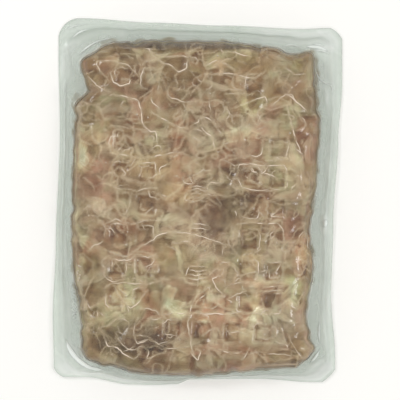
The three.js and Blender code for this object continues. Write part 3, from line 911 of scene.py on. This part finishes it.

# %% Painted highlights and shade at the borders of strips and chunks, at the sides of the rack's marks, and along the pleats
MARK_SHADE_TAKES = np.array([0.2, 0.32, 0.37])
strip_step = strip_step * (1 - 0.8 * smooth_face)
# Painted highlight on the raised side of each strip's border and painted shade just outside it, and painted
# shade at the chunks' lower feet.
border_lit = smoothstep(strip_step, 0.02, 0.16) * smoothstep(soft_noise(X, Y, 9, 64), -0.5, 0.3)
colour = laid_over(colour, linear("#d8c6a6"), 0.27 * level_part * border_lit)
colour = colour * (1 - 0.2 * (level_part * smoothstep(-strip_step, 0.03, 0.2))[..., None])
colour = colour * (1 - 0.28 * (shaded_foot * level_part * (1 - 0.8 * smooth_face))[..., None])
# Painted shade inside the sides of the rack's marks, and a painted highlight just outside them.
colour = colour * (1 - (mark_side_shade * level_part)[..., None] * MARK_SHADE_TAKES)
colour = laid_over(colour, linear("#d3c2a4"), 0.4 * mark_rim_highlight * level_part)
# Painted highlight: the meat is made paler along the pleats' crests, the chunks' lit rims and the wrinkles.
crest_highlight = np.maximum(np.maximum(crest, lit_rim), 0.8 * wrinkles)
colour = laid_over(colour, linear("#dccbb0"), 0.3 * crest_highlight * level_part)
colour = tinted(colour)

# %% Shaded meat is redder and browner, and pale meat is greyer: a power of the lightness for each channel
DARK_HUE, LIGHT_HUE = np.array([-0.18, 0.02, 0.42]), np.array([-0.1, 0, 0.08])
shade = colour.mean(axis=-1, keepdims=True) / colour[1:-1, 1:-1].mean()
colour = colour * np.minimum(shade, 1) ** DARK_HUE * np.maximum(shade, 1) ** LIGHT_HUE
print("meat's lightness over its mean:", np.percentile(shade, [2, 50, 98]).round(2))

# %% [markdown]
# ## The pattern on the wall
#
# Seen from above, the wall is a few millimetres wide, so a pattern laid in the plan is drawn out into
# streaks down it. We look up each wall point's colour further out in the plan, by about as much as the
# point lies below the top. Where that would be past the block's edge, we turn round and come back in, as a
# mirror image does.


# %% Carry the pattern down the wall
def on_grid(field, u, v):
    """The value of a grid field at any (u, v), between its four nearest points."""
    i = np.interp(u, ACROSS, np.arange(COLUMNS))
    j = np.interp(v, ALONG, np.arange(ROWS))
    i0, j0 = np.clip(i.astype(int), 0, COLUMNS - 2), np.clip(j.astype(int), 0, ROWS - 2)
    a, b = i - i0, j - j0
    near = field[j0, i0] * (1 - a) + field[j0, i0 + 1] * a
    far = field[j0 + 1, i0] * (1 - a) + field[j0 + 1, i0 + 1] * a
    return near * (1 - b) + far * b


WALL_STARTS, WALL_IN_FULL = 4, 12  # how far below the top the pattern begins to move, and moves in full
drop = (BLOCK_TOP - BLOCK_FOOT) * (1 - shoulder_rise(EDGE))
drop = drop * smoothstep(drop, WALL_STARTS, WALL_IN_FULL)
inwards = np.abs(EDGE - drop) - EDGE
from_side, from_end = (1 - np.abs(U)) * BLOCK_HALF[0], (1 - np.abs(V)) * BLOCK_HALF[1]
at_side = from_end**2 / np.maximum(from_side**2 + from_end**2, 1e-6)
slant = np.hypot(at_side, 1 - at_side)
wall_u = U - np.sign(U) * at_side / slant * inwards / BLOCK_HALF[0]
wall_v = V - np.sign(V) * (1 - at_side) / slant * inwards / BLOCK_HALF[1]
colour = np.stack([on_grid(colour[..., channel], wall_u, wall_v) for channel in range(3)], axis=-1)
run, side, gap_shade = (on_grid(field, wall_u, wall_v) for field in (run, side, gap_shade))
print("pattern moved on the wall, mm:", drop.max().round(1))

# %% The block is darker along its head, most of it left of the middle
HEAD_DARKENING_TAKES = np.array([0.5, 0.52, 0.6])
dark_head = smoothstep(Y, 102, 110) * (1 - smoothstep(np.abs(X + 8), 42, 56))
head_darkening = dark_head * (1 - smoothstep(EDGE, 1.8, 4.5)) * (0.75 + 0.25 * soft_noise(X, Y, 22, 70))
colour = colour * (1 - head_darkening[..., None] * HEAD_DARKENING_TAKES)

# %% The closed block
# The meat's wall lies this far inside the film's, and underneath the gaps between strips are this deep.
WALL_INSET, GAP_DEPTH = 0.5, 0.45
inset = 1 - WALL_INSET / BLOCK_HALF[0]
top = np.stack([X * inset, Y * inset, meat_top], axis=-1).reshape(-1, 3)
press_gaps = GAP_DEPTH * (1 - smoothstep(rim, 0.1, 0.6)) * smoothstep(EDGE, 1, 6)
under = np.stack([X * inset, Y * inset, MEAT_FOOT + press_gaps], axis=-1).reshape(-1, 3)
count = COLUMNS * ROWS
border = border_of(COLUMNS, ROWS)
faces = np.concatenate([
    grid_faces(COLUMNS, ROWS),
    grid_faces(COLUMNS, ROWS, count, flip=True),
    band_faces(border + count, border),
])


def both(field):
    """A grid's values for the points of the top, and again for those underneath."""
    return np.concatenate([field.ravel(), field.ravel()])


pork = new_piece(
    "pork_block",
    np.concatenate([top, under]),
    faces,
    values={"gap_shade": both(gap_shade), "wall_shade": both(wall_shade)},
    colour=np.concatenate([colour.reshape(-1, 3)] * 2),
    uv=np.column_stack([both(run), both(side)]) * MM,
)

# %% Cooked pork: fibres along each strip, painted shade in the gaps and on the wall, a wet gloss under the clinging film
meat, tree, shader = new_material("cooked_pork")
tone = add_node(tree, "ShaderNodeVertexColor", layer_name="colour").outputs["Color"]
gap_shade_share = add_node(tree, "ShaderNodeAttribute", attribute_name="gap_shade").outputs["Fac"]
wall_shade_share = add_node(tree, "ShaderNodeAttribute", attribute_name="wall_shade").outputs["Fac"]
place = add_node(tree, "ShaderNodeTexCoord").outputs["Object"]
along_strip = add_node(tree, "ShaderNodeUVMap", uv_map="fibres").outputs["UV"]
# The fibres' pattern changes about every millimetre across a strip, and every nine along it.
drawn_out = {"Vector": along_strip, "Scale": (110, 950, 1)}
stretched = add_node(tree, "ShaderNodeMapping", drawn_out).outputs["Vector"]
fibre_noise = {"Vector": stretched, "Scale": 1.0, "Detail": 3.0}
fibres = add_node(tree, "ShaderNodeTexNoise", fibre_noise).outputs["Fac"]
mottle = add_node(tree, "ShaderNodeTexNoise", {"Vector": place, "Scale": 160.0, "Detail": 4.0}).outputs["Fac"]
broad = add_node(tree, "ShaderNodeTexNoise", {"Vector": place, "Scale": 45.0, "Detail": 2.0}).outputs["Fac"]
fibre_dark = add_node(tree, "ShaderNodeMapRange", {0: fibres, 1: 0.3, 2: 0.7, 3: 0.9, 4: 0.0}).outputs[0]
toned = mix_colours(tree, fibre_dark, tone, rgba("#e2dccf"), "MULTIPLY")
pale_share = add_node(tree, "ShaderNodeMapRange", {0: mottle, 1: 0.52, 2: 0.75, 3: 0.0, 4: 0.22}).outputs[0]
toned = mix_colours(tree, pale_share, toned, rgba("#c8b893"))
dull_share = add_node(tree, "ShaderNodeMapRange", {0: mottle, 1: 0.48, 2: 0.25, 3: 0.0, 4: 0.8}).outputs[0]
toned = mix_colours(tree, dull_share, toned, rgba("#d8cfc0"), "MULTIPLY")
pink_share = add_node(tree, "ShaderNodeMapRange", {0: broad, 1: 0.5, 2: 0.72, 3: 0.0, 4: 0.8}).outputs[0]
toned = mix_colours(tree, pink_share, toned, rgba("#f6e6e0"), "MULTIPLY")
# Painted shade: darker in the gaps between strips, and dark brown in patches on the block's wall.
toned = mix_colours(tree, sums(tree, "MULTIPLY", gap_shade_share, 0.7), toned, rgba("#c8bca6"), "MULTIPLY")
toned = mix_colours(tree, sums(tree, "MULTIPLY", wall_shade_share, 0.6), toned, rgba("#66491f"))
tree.links.new(toned, shader.inputs["Base Color"])
bump = add_node(tree, "ShaderNodeBump", {"Height": fibres, "Strength": 0.5, "Distance": 0.0004})
fine_bump = {"Height": mottle, "Strength": 0.4, "Distance": 0.0005, "Normal": bump.outputs[0]}
fine = add_node(tree, "ShaderNodeBump", fine_bump)
tree.links.new(fine.outputs[0], shader.inputs["Normal"])
shader.inputs["Roughness"].default_value = 0.5
shader.inputs["Coat Weight"].default_value = 0.7
shader.inputs["Coat Roughness"].default_value = 0.12
shader.inputs["IOR"].default_value = 1.45
pork.data.materials.append(meat)

# %% [markdown]
# ## The webs of film
#
# Both webs are sheets of clear film about 0.2 mm thick. The formed web covers the block, runs down its wall
# and out over the flange. The flat web lies under everything. Where they are welded they turn milky and
# slightly green. The formed web carries the flange's own detail: a bead where the mould's rim clamped it,
# finer ridges along it, slack wrinkles in the corners and a faint curl.

# %% The flange's form
FLANGE_PROFILE = [(0, BLOCK_FOOT), (0.1, 1.3), (0.3, 0.9), (0.5, 0.9), (0.62, 1.3), (0.74, 0.9), (1, 0.9)]
CURL_STARTS, CURL_BASE, CURL_WAVES = 0.3, 1.2, [(2, 0.8, 0.9), (3, 0.7, 2.4), (7, 0.35, 0.6)]


def flange_curl(x, y, share):
    """How far the flange has lifted off the table, in mm: waves round the pack, growing outwards."""
    angle = np.arctan2(y / FILM_HALF[1], x / FILM_HALF[0])
    lift = CURL_BASE + sum(height * np.sin(waves * angle + start) for waves, height, start in CURL_WAVES)
    return np.maximum(lift, 0.1) * smoothstep(share, CURL_STARTS, 1.2)


def web_points(u, v, shares):
    """Plan of the flange's rings, from the block's foot out to the cut edge, with each point's share."""
    foot = np.stack(in_plan(BLOCK_HALF, BLOCK_RADIUS, BLOCK_EDGE, u, v), axis=-1)
    cut = np.stack(in_plan(FILM_HALF, FILM_RADIUS, FILM_EDGE, u, v), axis=-1)
    share = np.broadcast_to(np.asarray(shares)[:, None], (len(shares), len(u)))
    plan = foot[None] * (1 - share[..., None]) + cut[None] * share[..., None]
    return plan[..., 0], plan[..., 1], share


# %% The formed web
rings = np.linspace(0, 1, 31)[1:]
ub, vb = U.ravel()[border], V.ravel()[border]
fx, fy, share = web_points(ub, vb, rings)
wander = 0.02 * rough_noise(fx, fy, 30, 21)
corner = smoothstep(np.minimum(np.abs(fx) / 100, np.abs(fy) / 127), 0.72, 0.9)
profile = through(FLANGE_PROFILE, share)
here = smoothstep(soft_noise(fx, fy, 45, 26), -0.2, 0.4)
there = smoothstep(soft_noise(fx, fy, 45, 27), 0, 0.5)
profile += 0.06 * here * ridge(share, 0.4 + wander, 0.09) + 0.05 * there * ridge(share, 0.84 + wander, 0.08)
profile += 0.1 * soft_noise(fx, fy, 14, 22) * smoothstep(share, 0.05, 0.3)
slack = np.sin((fx * np.sign(fy) + fy * np.sign(fx)) * 0.4 + 1.5 * soft_noise(fx, fy, 14, 23))
profile += 0.08 * corner * slack * smoothstep(share, 0.1, 0.4)

# Puckers, where the film drew up as it cooled: middle, half sizes, turn in degrees and height.
PUCKERS = [
    (89.5, 110.6, 6, 1.1, -8, 0.7), (90.5, 108.4, 5, 1, -12, 0.6), (86, 112, 4, 0.9, -4, 0.45),
    (90.5, -15, 2.4, 6, 4, 1.1), (-96, 97, 2.2, 9, -3, 0.9), (-87, -108, 7, 2.4, -50, 0.9),
    (92, 74, 2.2, 7, 8, 0.9), (93.5, -72, 2, 9, 0, 0.8), (-94, 40, 2, 12, 2, 0.5),
    (-94, -35, 2, 10, 2, 0.6), (-92, 112, 6, 2.2, 30, 0.9), (84, -116, 6, 2.2, 35, 0.8),
    (20, -123.5, 10, 1.8, 2, 0.5), (-30, 121, 14, 1.6, -2, 0.4), (93, 25, 2, 8, 0, 0.5),
]
# Each pucker also carries a painted highlight: the film is whitened on it, standing in for the glint on its
# slope.
pucker_highlight = np.zeros_like(fx)
for x, y, half_x, half_y, turn, height in PUCKERS:
    turn = np.radians(turn)
    s = (fx - x) * np.cos(turn) + (fy - y) * np.sin(turn)
    t = -(fx - x) * np.sin(turn) + (fy - y) * np.cos(turn)
    bell = ridge(s, 0, half_x) * ridge(t, 0, half_y) * smoothstep(share, 0.02, 0.2)
    profile += height * bell
    pucker_highlight += 0.6 * height * bell

# Where the profile would sink below the weld it levels off softly, and so stays clear of the flat web.
WELD_LEVEL, WELD_SOFTNESS = 0.85, 0.05
above = profile - WELD_LEVEL
fz = flange_curl(fx, fy, share) + 0.4 + (above + np.sqrt(above**2 + WELD_SOFTNESS)) / 2

# %% The formed web's mesh, with how milky and how whitened by painted highlight, welded, grey or stained it is at each point
formed_points = np.concatenate([
    np.stack([X, Y, film_top], axis=-1).reshape(-1, 3),
    np.stack([fx, fy, fz], axis=-1).reshape(-1, 3),
])
n = len(border)
loops = [border] + [count + n * k + np.arange(n) for k in range(len(rings))]
formed_faces = np.concatenate([grid_faces(COLUMNS, ROWS), *bands_between(loops)])

# The weld is milkier outside the bead, and paler still at the bottom and on the right. At the top right a
# painted highlight lies on it.
top_right_highlight = smoothstep(fy, 104, 112) * smoothstep(fx, 30, 55)
pale_side = 0.2 + 0.6 * smoothstep(-fy, 110, 119)
pale_side += 0.1 * smoothstep(fx / FILM_HALF[0] + 0.35 * fy / FILM_HALF[1], 0.2, 0.9)
pale_side += smoothstep(fy, 104, 114) * (0.25 * smoothstep(fx, 28, 55) - 0.1)
haze_and_highlight_flange = pale_side * smoothstep(share, 0.3, 0.7) * (1 - 0.7 * smoothstep(share, 0.8, 1))
haze_and_highlight_flange += 0.12 * ridge(share, 0.62, 0.07) + 0.18 * here * ridge(share, 0.4 + wander, 0.06)
haze_and_highlight_flange += 0.15 * there * ridge(share, 0.84 + wander, 0.05)
haze_and_highlight_flange += 0.25 * top_right_highlight * smoothstep(share, 0.05, 0.3)
haze_and_highlight_flange += 0.1 + 0.1 * rough_noise(fx, fy, 9, 24) + 0.15 * corner * smoothstep(slack, 0.5, 1) + pucker_highlight
over_wall = 0.3 * (1 - smoothstep(EDGE, 0, 2.4)) * smoothstep(rough_noise(X, Y, 9, 28), -0.25, 0.3)
over_wall = over_wall * (1 - 0.95 * dark_head)
# Juice squeezed into the foot of the flange stains it, over a width that comes and goes.
squeezed = np.maximum(0.05 + 0.12 * rough_noise(fx, fy, 7, 29) + 0.05 * soft_noise(fx, fy, 30, 30), 0)
stain_shown = 0.7 * smoothstep(rough_noise(fx, fy, 11, 48), -0.1, 0.4)
stain = stain_shown * (1 - smoothstep(share, squeezed, squeezed + 0.12))
along_bead = 0.5 * ridge(share, 0.6, 0.07) + 0.3 * (1 - smoothstep(share, 0.6, 0.75))
grey = np.maximum(0.6 * smoothstep(share, 0.92, 1), smoothstep(fy, 108, 118) * along_bead)
# Over the block the film is milkier along its creases, and a painted highlight whitens it along the pleats'
# crests and the chunks' lit rims.
crease_haze_and_highlight = 0.6 * np.maximum(np.maximum(crest, lit_rim), wrinkles)
haze_and_highlight_block = np.maximum(crease_haze_and_highlight, 0.35 * smoothstep(rough_noise(X, Y, 16, 25), 0.15, 0.7))
formed = new_piece(
    "formed_film",
    formed_points,
    formed_faces,
    values={
        "haze_and_highlight": np.clip(np.concatenate([haze_and_highlight_block.ravel(), haze_and_highlight_flange.ravel()]), 0, 1),
        "flange": np.concatenate([over_wall.ravel(), smoothstep(share, -0.3, 0.08).ravel()]),
        "rim": np.concatenate([np.zeros(count), grey.ravel()]),
        "stain": np.concatenate([2.8 * over_wall.ravel(), stain.ravel()]),
    },
)

# %% The flat web
coarse_u, coarse_v = np.linspace(-1, 1, 86), np.linspace(-1, 1, 118)
FLAT_RINGS = 14
gu, gv = np.meshgrid(coarse_u, coarse_v)
gx, gy = in_plan(BLOCK_HALF, BLOCK_RADIUS, BLOCK_EDGE, gu, gv)
flat_border = border_of(len(coarse_u), len(coarse_v))
flat_rings = np.linspace(0, 1, FLAT_RINGS + 1)[1:]
bx, by, bshare = web_points(gu.ravel()[flat_border], gv.ravel()[flat_border], flat_rings)
bz = FLAT_WEB_LEVEL + flange_curl(bx, by, bshare) + 0.1 * smoothstep(bshare, 0.3, 1)
flat_points = np.concatenate([
    np.stack([gx, gy, np.full_like(gx, FLAT_WEB_LEVEL)], axis=-1).reshape(-1, 3),
    np.stack([bx, by, bz], axis=-1).reshape(-1, 3),
])
m = len(flat_border)
loops = [flat_border] + [gx.size + m * k + np.arange(m) for k in range(FLAT_RINGS)]
flat_faces = np.concatenate([grid_faces(len(coarse_u), len(coarse_v)), *bands_between(loops)])
flat = new_piece(
    "flat_film",
    flat_points,
    flat_faces,
    values={
        "haze_and_highlight": np.full(len(flat_points), 0.1),
        "flange": np.concatenate([np.zeros(gx.size), smoothstep(bshare, 0.0, 0.08).ravel()]),
        "rim": np.concatenate([np.zeros(gx.size), 0.6 * smoothstep(bshare, 0.92, 1).ravel()]),
        "stain": np.zeros(len(flat_points)),
    },
)

# %% Clear laminated film: glossy, milky and grey-green where it is welded, whiter where it is creased and where a highlight is painted on it
film, tree, shader = new_material("clear_film")
haze_and_highlight_share = add_node(tree, "ShaderNodeAttribute", attribute_name="haze_and_highlight").outputs["Fac"]
welded = add_node(tree, "ShaderNodeAttribute", attribute_name="flange").outputs["Fac"]
at_rim = add_node(tree, "ShaderNodeAttribute", attribute_name="rim").outputs["Fac"]
place = add_node(tree, "ShaderNodeTexCoord").outputs["Object"]
cloudy = add_node(tree, "ShaderNodeTexNoise", {"Vector": place, "Scale": 60.0, "Detail": 3.0}).outputs["Fac"]
weld_tone = mix_colours(tree, cloudy, rgba("#e2efe2"), rgba("#f3faf4"))
clear_tone = mix_colours(tree, welded, rgba("#dcc8a4"), weld_tone)
haze_and_highlight_tone = mix_colours(tree, welded, rgba("#f8e2bf"), rgba("#fbfffb"))
film_tone = mix_colours(tree, haze_and_highlight_share, clear_tone, haze_and_highlight_tone)
rim_tone = mix_colours(tree, sums(tree, "MULTIPLY", at_rim, 0.7), film_tone, rgba("#b4c0b4"))
stained = add_node(tree, "ShaderNodeAttribute", attribute_name="stain").outputs["Fac"]
stain_tone = mix_colours(tree, stained, rim_tone, rgba("#8f7a4f"))
tree.links.new(stain_tone, shader.inputs["Base Color"])
alpha = sums(tree, "ADD", sums(tree, "MULTIPLY", welded, 0.22), 0.02)
alpha = sums(tree, "ADD", alpha, sums(tree, "MULTIPLY", at_rim, 0.15))
alpha = sums(tree, "ADD", alpha, sums(tree, "MULTIPLY", stained, 0.3))
alpha = sums(tree, "ADD", alpha, sums(tree, "MULTIPLY", haze_and_highlight_share, 0.3))
tree.links.new(alpha, shader.inputs["Alpha"])
wrinkle_noise = {"Vector": place, "Scale": 450.0, "Detail": 3.0}
wrinkle = add_node(tree, "ShaderNodeTexNoise", wrinkle_noise).outputs["Fac"]
bump = add_node(tree, "ShaderNodeBump", {"Height": wrinkle, "Strength": 0.3, "Distance": 0.0003})
tree.links.new(bump.outputs[0], shader.inputs["Normal"])
shader.inputs["Roughness"].default_value = 0.13
shader.inputs["IOR"].default_value = 1.5
for web in (formed, flat):
    web.data.materials.append(film)
    skin = web.modifiers.new("film thickness", "SOLIDIFY")
    skin.thickness, skin.offset = FILM_THICKNESS * MM, -1 if web is formed else 0


# %% [markdown]
# ## Pleats in the film
#
# Each pleat is a narrow ridge of film swept along its path, which lies on the formed web. The same function
# makes the wider folds of the flange.


# %% Sweep a ridge along a path
def film_level(x, y):
    """The film's height at any place on the block, from the formed web's own grid of heights."""
    return on_grid(film_top, *block_uv(x, y))


RIDGE_SUNK = 0.12  # a ridge's faded ends lie this far under the film, so that they vanish into it


def pleats(name, paths, half_width, height, level, uneven=0.8):
    """One piece of many ridges. Across, each is an arch of seven points. It fades at both ends, and comes and
    goes by a noise times how uneven it is."""
    arch = np.linspace(0, np.pi, 7)
    all_points, all_faces, all_shown, start = [], [], [], 0
    for line, size in paths:
        along = np.linspace(0, 1, len(line))
        strength = 1.05 - 0.5 * uneven + uneven * soft_noise(line[:, 0], line[:, 1], 4, 71)
        fade = (np.sin(np.pi * along) ** 0.6 * np.clip(strength, 0.15, 1))[:, None] * size
        slope = np.gradient(line, axis=0)
        slope /= np.maximum(np.hypot(*slope.T), 1e-6)[:, None]
        offset = -np.cos(arch)[None, :] * half_width * np.maximum(fade, 0.05)
        x = line[:, :1] - slope[:, 1:] * offset
        y = line[:, 1:] + slope[:, :1] * offset
        z = level(x, y) - RIDGE_SUNK + (height * np.sin(arch)[None, :] + RIDGE_SUNK) * fade
        all_points.append(np.stack([x, y, z], axis=-1).reshape(-1, 3))
        all_shown.append(np.clip(1.5 * fade * np.sin(arch), 0, 1).ravel())
        # The arch runs from the right of the path to its left, so its faces are flipped to face up.
        all_faces.append(grid_faces(len(arch), len(line), start, flip=True))
        start += x.size
    shown = {"shown": np.concatenate(all_shown)}
    return new_piece(name, np.concatenate(all_points), np.concatenate(all_faces), shown)


film_pleats = pleats("film_pleats", paths, 0.4, 0.3, film_level)


# %% [markdown]
# The flange has broader folds of its own: the arcs of the mould's corners, and the diagonal folds where the
# film was drawn over them. They lie on the flange, whose height we look up from the nearest point of the
# formed web.


# %% Folds on the flange
def flange_level(x, y):
    """The flange's height: that of the nearest of the formed web's flange points."""
    flat_x, flat_y, flat_z = (field[::2, ::3].ravel() for field in (fx, fy, fz))
    away = (x.ravel()[:, None] - flat_x) ** 2 + (y.ravel()[:, None] - flat_y) ** 2
    return flat_z[np.argmin(away, axis=1)].reshape(x.shape)


FLANGE_FOLDS = [
    ([(59.5, 110), (67, 112), (76, 109.5)], 0.6),
    # The next three, white streaks at the top right, are painted highlights for the glint on the film there.
    ([(77, 111), (86, 110.2), (93.5, 107.6)], 1.0),
    ([(83, 108.4), (89, 107.9), (95, 105.4)], 0.75),
    ([(81.5, 112.4), (87, 112.2), (92, 110.8)], 0.6),
    ([(83.4, 97.6), (86.3, 89.1), (91, 85), (96.2, 82), (96.2, 74.9)], 0.7),
    ([(-94.8, 122.5), (-86.3, 126), (-77.7, 127)], 0.6),
    ([(-90.5, 116.1), (-84.1, 121.1), (-76.3, 123.6)], 0.7),
    ([(-86, 103.6), (-79.5, 109.7), (-71.8, 114.3), (-60.5, 117.2)], 0.8),
    ([(-94.1, -98.3), (-91, -106), (-85, -113.5), (-77, -118.6), (-66, -121)], 1.7),
    ([(87.8, -104.7), (84.5, -111), (79.5, -116)], 0.9),
    ([(87, -85.6), (86.8, -95.5), (87.7, -102.6)], 0.7),
    ([(92, -12), (90.8, -19)], 1.3),
    ([(-95.5, 95), (-94.2, 85), (-94.6, 70), (-95.5, 55)], 0.5),
    ([(-97, 105), (-93, 104.5)], 0.6),
]
curl = np.arange(27)
for shift, size in ((0, 0.45), (2.6, 0.35)):  # curly wrinkles where the film is slack, low on the left
    curly_x, curly_y = -88.3 + 0.5 * shift + 1.7 * np.sin(2.1 * curl + shift), -55 - 1.3 * curl
    FLANGE_FOLDS.append((list(zip(curly_x, curly_y)), size))
folds = [(smooth_path(path, 1.2), size) for path, size in FLANGE_FOLDS]
flange_folds = pleats("flange_folds", folds, 1.2, 0.5, flange_level, uneven=0.3)

# %% Creased film: the same laminate, whiter and less clear where it is folded on itself, its cream tone partly a painted highlight along each pleat
creased_and_highlit_film, tree, shader = new_material("creased_film_and_highlight")
place = add_node(tree, "ShaderNodeTexCoord").outputs["Object"]
worn = add_node(tree, "ShaderNodeTexNoise", {"Vector": place, "Scale": 260.0, "Detail": 2.0}).outputs["Fac"]
tree.links.new(mix_colours(tree, worn, rgba("#efd9c1"), rgba("#faeddc")), shader.inputs["Base Color"])
shown = add_node(tree, "ShaderNodeAttribute", attribute_name="shown").outputs["Fac"]
tree.links.new(sums(tree, "MULTIPLY", shown, 0.85), shader.inputs["Alpha"])
shader.inputs["Roughness"].default_value = 0.11
shader.inputs["IOR"].default_value = 1.5
film_pleats.data.materials.append(creased_and_highlit_film)

# The same white film also paints the highlight streaks at the top right of the flange.
folded, tree, shader = new_material("folded_flange_film")
place = add_node(tree, "ShaderNodeTexCoord").outputs["Object"]
worn = add_node(tree, "ShaderNodeTexNoise", {"Vector": place, "Scale": 120.0, "Detail": 2.0}).outputs["Fac"]
tree.links.new(mix_colours(tree, worn, rgba("#dce5de"), rgba("#fafdfa")), shader.inputs["Base Color"])
shown = add_node(tree, "ShaderNodeAttribute", attribute_name="shown").outputs["Fac"]
tree.links.new(shown, shader.inputs["Alpha"])
shader.inputs["Roughness"].default_value = 0.16
shader.inputs["IOR"].default_value = 1.5
flange_folds.data.materials.append(folded)

# %% [markdown]
# ## Bubbles
#
# The pump leaves small bubbles behind, which lie between meat and film as tiny glossy domes.


# %% Flattened domes laid on the block
def domes(name, spots, rings, sectors, level):
    """One piece of many domes: rings of points from a centre out, the outermost sunk a little under the film.
    """
    angle = np.linspace(0, 2 * np.pi, sectors, endpoint=False)
    radius = np.linspace(0, 1, rings + 1)[1:]
    all_points, all_faces, start = [], [], 0
    for x, y, half_x, half_y, height, turn in spots:
        outline = 1 + 0.16 * np.sin(3 * angle + 5 * turn) + 0.09 * np.sin(5 * angle + 9 * turn)
        s = radius[:, None] * outline * np.cos(angle) * half_x
        t = radius[:, None] * outline * np.sin(angle) * half_y
        px, py = x + s * np.cos(turn) - t * np.sin(turn), y + s * np.sin(turn) + t * np.cos(turn)
        pz = level(px, py) + height * (np.sqrt(np.maximum(1 - radius[:, None] ** 2, 0)) - 0.35)
        middle = [[x, y, float(level(np.array([x]), np.array([y]))[0]) + height * 0.65]]
        all_points.append(np.concatenate([middle, np.stack([px, py, pz], axis=-1).reshape(-1, 3)]))
        first = start + 1 + np.arange(sectors)
        cap = np.stack([np.full(sectors, start), first, np.roll(first, -1), np.full(sectors, start)], axis=-1)
        bands = [band_faces(first + sectors * (k + 1), first + sectors * k) for k in range(rings - 1)]
        all_faces += [cap[:, :3], *[np.concatenate([b[:, :3], b[:, [0, 2, 3]]]) for b in bands]]
        start += 1 + sectors * rings
    return new_piece(name, np.concatenate(all_points), np.concatenate(all_faces))


# %% The bubbles
# Each: middle, half sizes, height and turn.
BUBBLES = [
    (
        *(rng.uniform(-1, 1, 2) * (78, 108)),
        radius,
        radius * rng.uniform(0.6, 1),
        radius * 0.7,
        rng.uniform(0, 3),
    )
    for radius in rng.uniform(0.3, 0.8, 45)
]
BUBBLES += [(-84 + rng.uniform(-1.5, 1.5), rng.uniform(-58, -42), 0.8, 0.6, 0.5, 0) for _ in range(9)]
bubbles = domes("air_bubbles", BUBBLES, 4, 14, film_level)
airy, tree, shader = new_material("bubble_skin")
place = add_node(tree, "ShaderNodeTexCoord").outputs["Object"]
shine = add_node(tree, "ShaderNodeTexNoise", {"Vector": place, "Scale": 400.0}).outputs["Fac"]
tree.links.new(mix_colours(tree, shine, rgba("#cdbba0"), rgba("#f3e8d8")), shader.inputs["Base Color"])
shader.inputs["Alpha"].default_value = 0.55
shader.inputs["Roughness"].default_value = 0.08
bubbles.data.materials.append(airy)

# %% [markdown]
# ## The studio
#
# The pack is photographed from straight above on a white sheet, with soft light from all round and two soft
# boxes. The sheet has a faint glow of its own, for the light that the table below it sends back. A long lens
# from far away keeps the block's wall from showing more on one side than another.

# %% The white sheet
SHEET, SHEET_GLOW, ROOM_LIGHT = 2, 0.04, 0.78  # the sheet's half side is in metres
floor_mesh = bpy.data.meshes.new("floor")
sheet_corners = [(-SHEET, -SHEET, 0), (SHEET, -SHEET, 0), (SHEET, SHEET, 0), (-SHEET, SHEET, 0)]
floor_mesh.from_pydata(sheet_corners, [], [(0, 1, 2, 3)])
floor = bpy.data.objects.new("floor", floor_mesh)
bpy.context.scene.collection.objects.link(floor)
paper, tree, shader = new_material("white_sheet")
shader.inputs["Base Color"].default_value = (0.965, 0.96, 0.94, 1)
shader.inputs["Roughness"].default_value = 0.9
shader.inputs["Specular IOR Level"].default_value = 0.0
shader.inputs["Emission Color"].default_value = (1, 0.98, 0.9, 1)
shader.inputs["Emission Strength"].default_value = SHEET_GLOW
floor.data.materials.append(paper)

# %% The light
world = bpy.data.worlds.new("studio")
bpy.context.scene.world = world
world.use_nodes = True
world.node_tree.nodes["Background"].inputs["Color"].default_value = (1.0, 0.995, 0.98, 1)
world.node_tree.nodes["Background"].inputs["Strength"].default_value = ROOM_LIGHT


def soft_box(name, place, side, brightness):
    """A square lamp aimed at the pack. Brightness is that of its face over a white sheet's in full light."""
    lamp = bpy.data.lights.new(name, "AREA")
    lamp.shape, lamp.size = "SQUARE", side
    lamp.energy = brightness * np.pi * side * side
    box = bpy.data.objects.new(name, lamp)
    box.location = place
    direction = -np.array(place)
    box.rotation_euler = (
        np.arctan2(np.hypot(direction[0], direction[1]), -direction[2]),
        0,
        np.arctan2(direction[0], -direction[1]) + np.pi,
    )
    bpy.context.scene.collection.objects.link(box)


BOX_SIDE = 0.29
soft_box("soft_box_key", (-0.85, 0.6, 0.95), BOX_SIDE, 15)
soft_box("soft_box_fill", (0.9, -0.3, 1.0), BOX_SIDE, 10)

# %% The camera, straight over a point just right of the middle and above it
CAMERA_OVER, SHOWN_WIDTH, DISTANCE, SENSOR = (1.8 * MM, 1.1 * MM), 0.284, 1.6, 36
camera_data = bpy.data.cameras.new("camera")
camera_data.sensor_width = SENSOR
# The shown width is measured at half the block's height.
camera_data.lens = SENSOR * (DISTANCE - BLOCK_TOP / 2 * MM) / SHOWN_WIDTH
camera = bpy.data.objects.new("camera", camera_data)
camera.location = (*CAMERA_OVER, DISTANCE)
bpy.context.scene.collection.objects.link(camera)
bpy.context.scene.camera = camera
bpy.context.scene.view_settings.view_transform = "Standard"
